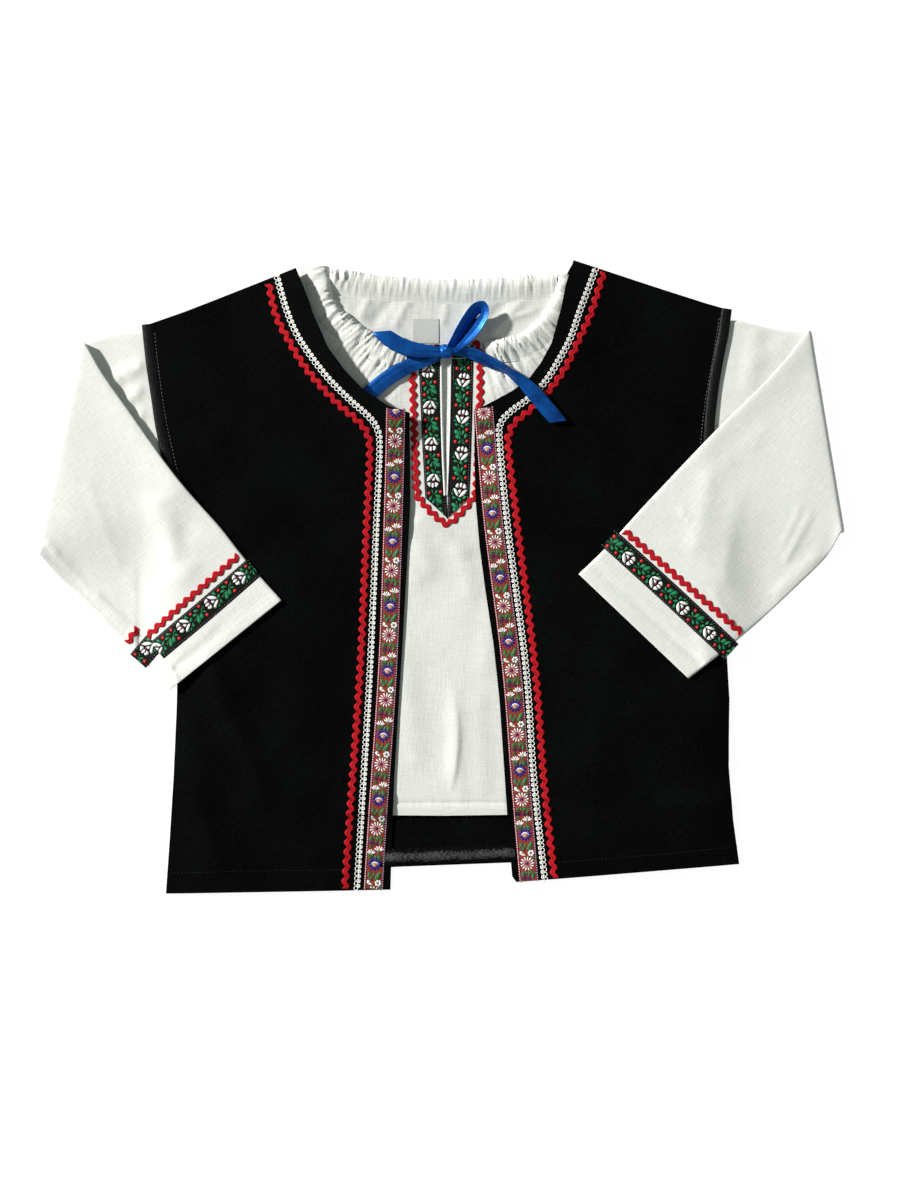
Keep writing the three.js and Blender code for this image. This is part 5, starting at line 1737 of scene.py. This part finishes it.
ROLL_HEIGHT = 1.5 * MM
SLIT_ROLLS = {
    "slit_roll_left": ([(0.5, 150.6), (0.7, 118), (1.5, 84), (2.9, 54)], 1.5 * MM),
    "slit_roll_right": ([(6.7, 150.6), (6.5, 118), (5.7, 84), (4.5, 54)], 1.1 * MM),
}
for name, (table, width) in SLIT_ROLLS.items():
    drop(cord(name, smooth(table), width, ROLL_HEIGHT, linen, "white_cloth"), SHIRT_SKIN)
TACK = [(-9, 143.4), (3, 144.6), (12, 144.2), (24, 145.6)]
OVER_RIBBONS = 1.3 * MM
tack = cord("tacking_thread", smooth(TACK), 0.3 * MM, 0.35 * MM, white_thread, "white_cloth")
drop(tack, SHIRT_SKIN, OVER_RIBBONS)
print("tacking thread in mm:", round(length_of(smooth(TACK)) / MM))

# %% [markdown]
# ## The table
# The floor is a plain pale board just under the set. It is a dark matt surface with a white glow of its
# own, so it stays evenly pale, and the set's shadows on it stay faint.


# %% Table
BOARD_HALF_SIZE = 3
BOARD_GAP = 0.3 * MM


def table_board():
    work = bmesh.new()
    bmesh.ops.create_grid(work, x_segments=1, y_segments=1, size=BOARD_HALF_SIZE)
    bmesh.ops.translate(work, verts=work.verts, vec=(0, 0, -BOARD_GAP))
    mesh = mesh_from(work, "table board")
    finish = bpy.data.materials.new("pale board")
    finish.use_nodes = True
    shader = finish.node_tree.nodes["Principled BSDF"]
    look = {"Base Color": (0.15, 0.15, 0.15, 1), "Roughness": 0.9, "Emission Color": (1, 1, 1, 1)}
    for name, value in {**look, "Emission Strength": 0.94}.items():
        shader.inputs[name].default_value = value
    mesh.materials.append(finish)
    placed("table board", mesh)


table_board()
print("the board is this far under the set, in mm:", round(BOARD_GAP / MM, 1))


# %% [markdown] ## What each cloth was cut to Each cloth panel is listed with the size it was cut to, how
# it is held, what it lies on and what is sewn onto it.


# The flat width and length in mm, how it is held, what it rests on, its fullness over what it covers, and
# what is sewn onto it.
SHEETS = {
    "vest_back_cloth": (393, 412, "laid", [], 1.0, []),
    "vest_front_left_cloth": (172, 414, "laid", ["shirt_front_cloth"], 1.0, [
        "armhole_edge_left", "vest_ricrac_left_braid", "vest_picot_left_braid", "vest_hem_left_stitches",
        "armhole_left_stitches",
    ]),
    "vest_front_right_cloth": (178, 412, "laid", ["shirt_front_cloth"], 1.0, [
        "armhole_edge_right", "vest_ricrac_right_braid", "vest_picot_right_braid", "vest_hem_right_stitches",
        "armhole_right_stitches",
    ]),
    "vest_back_hem_tape": (12, 332, "laid", ["vest_back_cloth"], 1.0, []),
    "shirt_back_cloth": (368, 356, "laid", ["vest_back_cloth"], 1.0, []),
    "shirt_front_cloth": (380, 372, "gathered", ["shirt_back_cloth"], 1.04, [
        "placket_ricrac_braid", "shirt_hem_stitches", "slit_roll_left", "slit_roll_right",
    ]),
    "sleeve_left_cloth": (216, 300, "folded", ["vest_front_left_cloth"], 1.1, [
        "sleeve_ricrac_left_braid", "sleeve_ricrac_left_seam_braid", "cuff_left_stitches",
    ]),
    "sleeve_right_cloth": (220, 310, "folded", ["vest_front_right_cloth"], 1.1, [
        "sleeve_ricrac_right_braid", "cuff_right_stitches",
    ]),
    "blank_neck_label": (17.2, 16.2, "laid", ["shirt_back_cloth"], 1.0, []),
}
for name, (width, length, held, under, fullness, sewn) in SHEETS.items():
    node = next(key for key, value in REPLACED.items() if value == name)
    width * MM
print("cloth panels declared:", len(SHEETS))

# %% [markdown]
# ## The end
# The set may only stand a little proud of its frame, as soft cloth does.
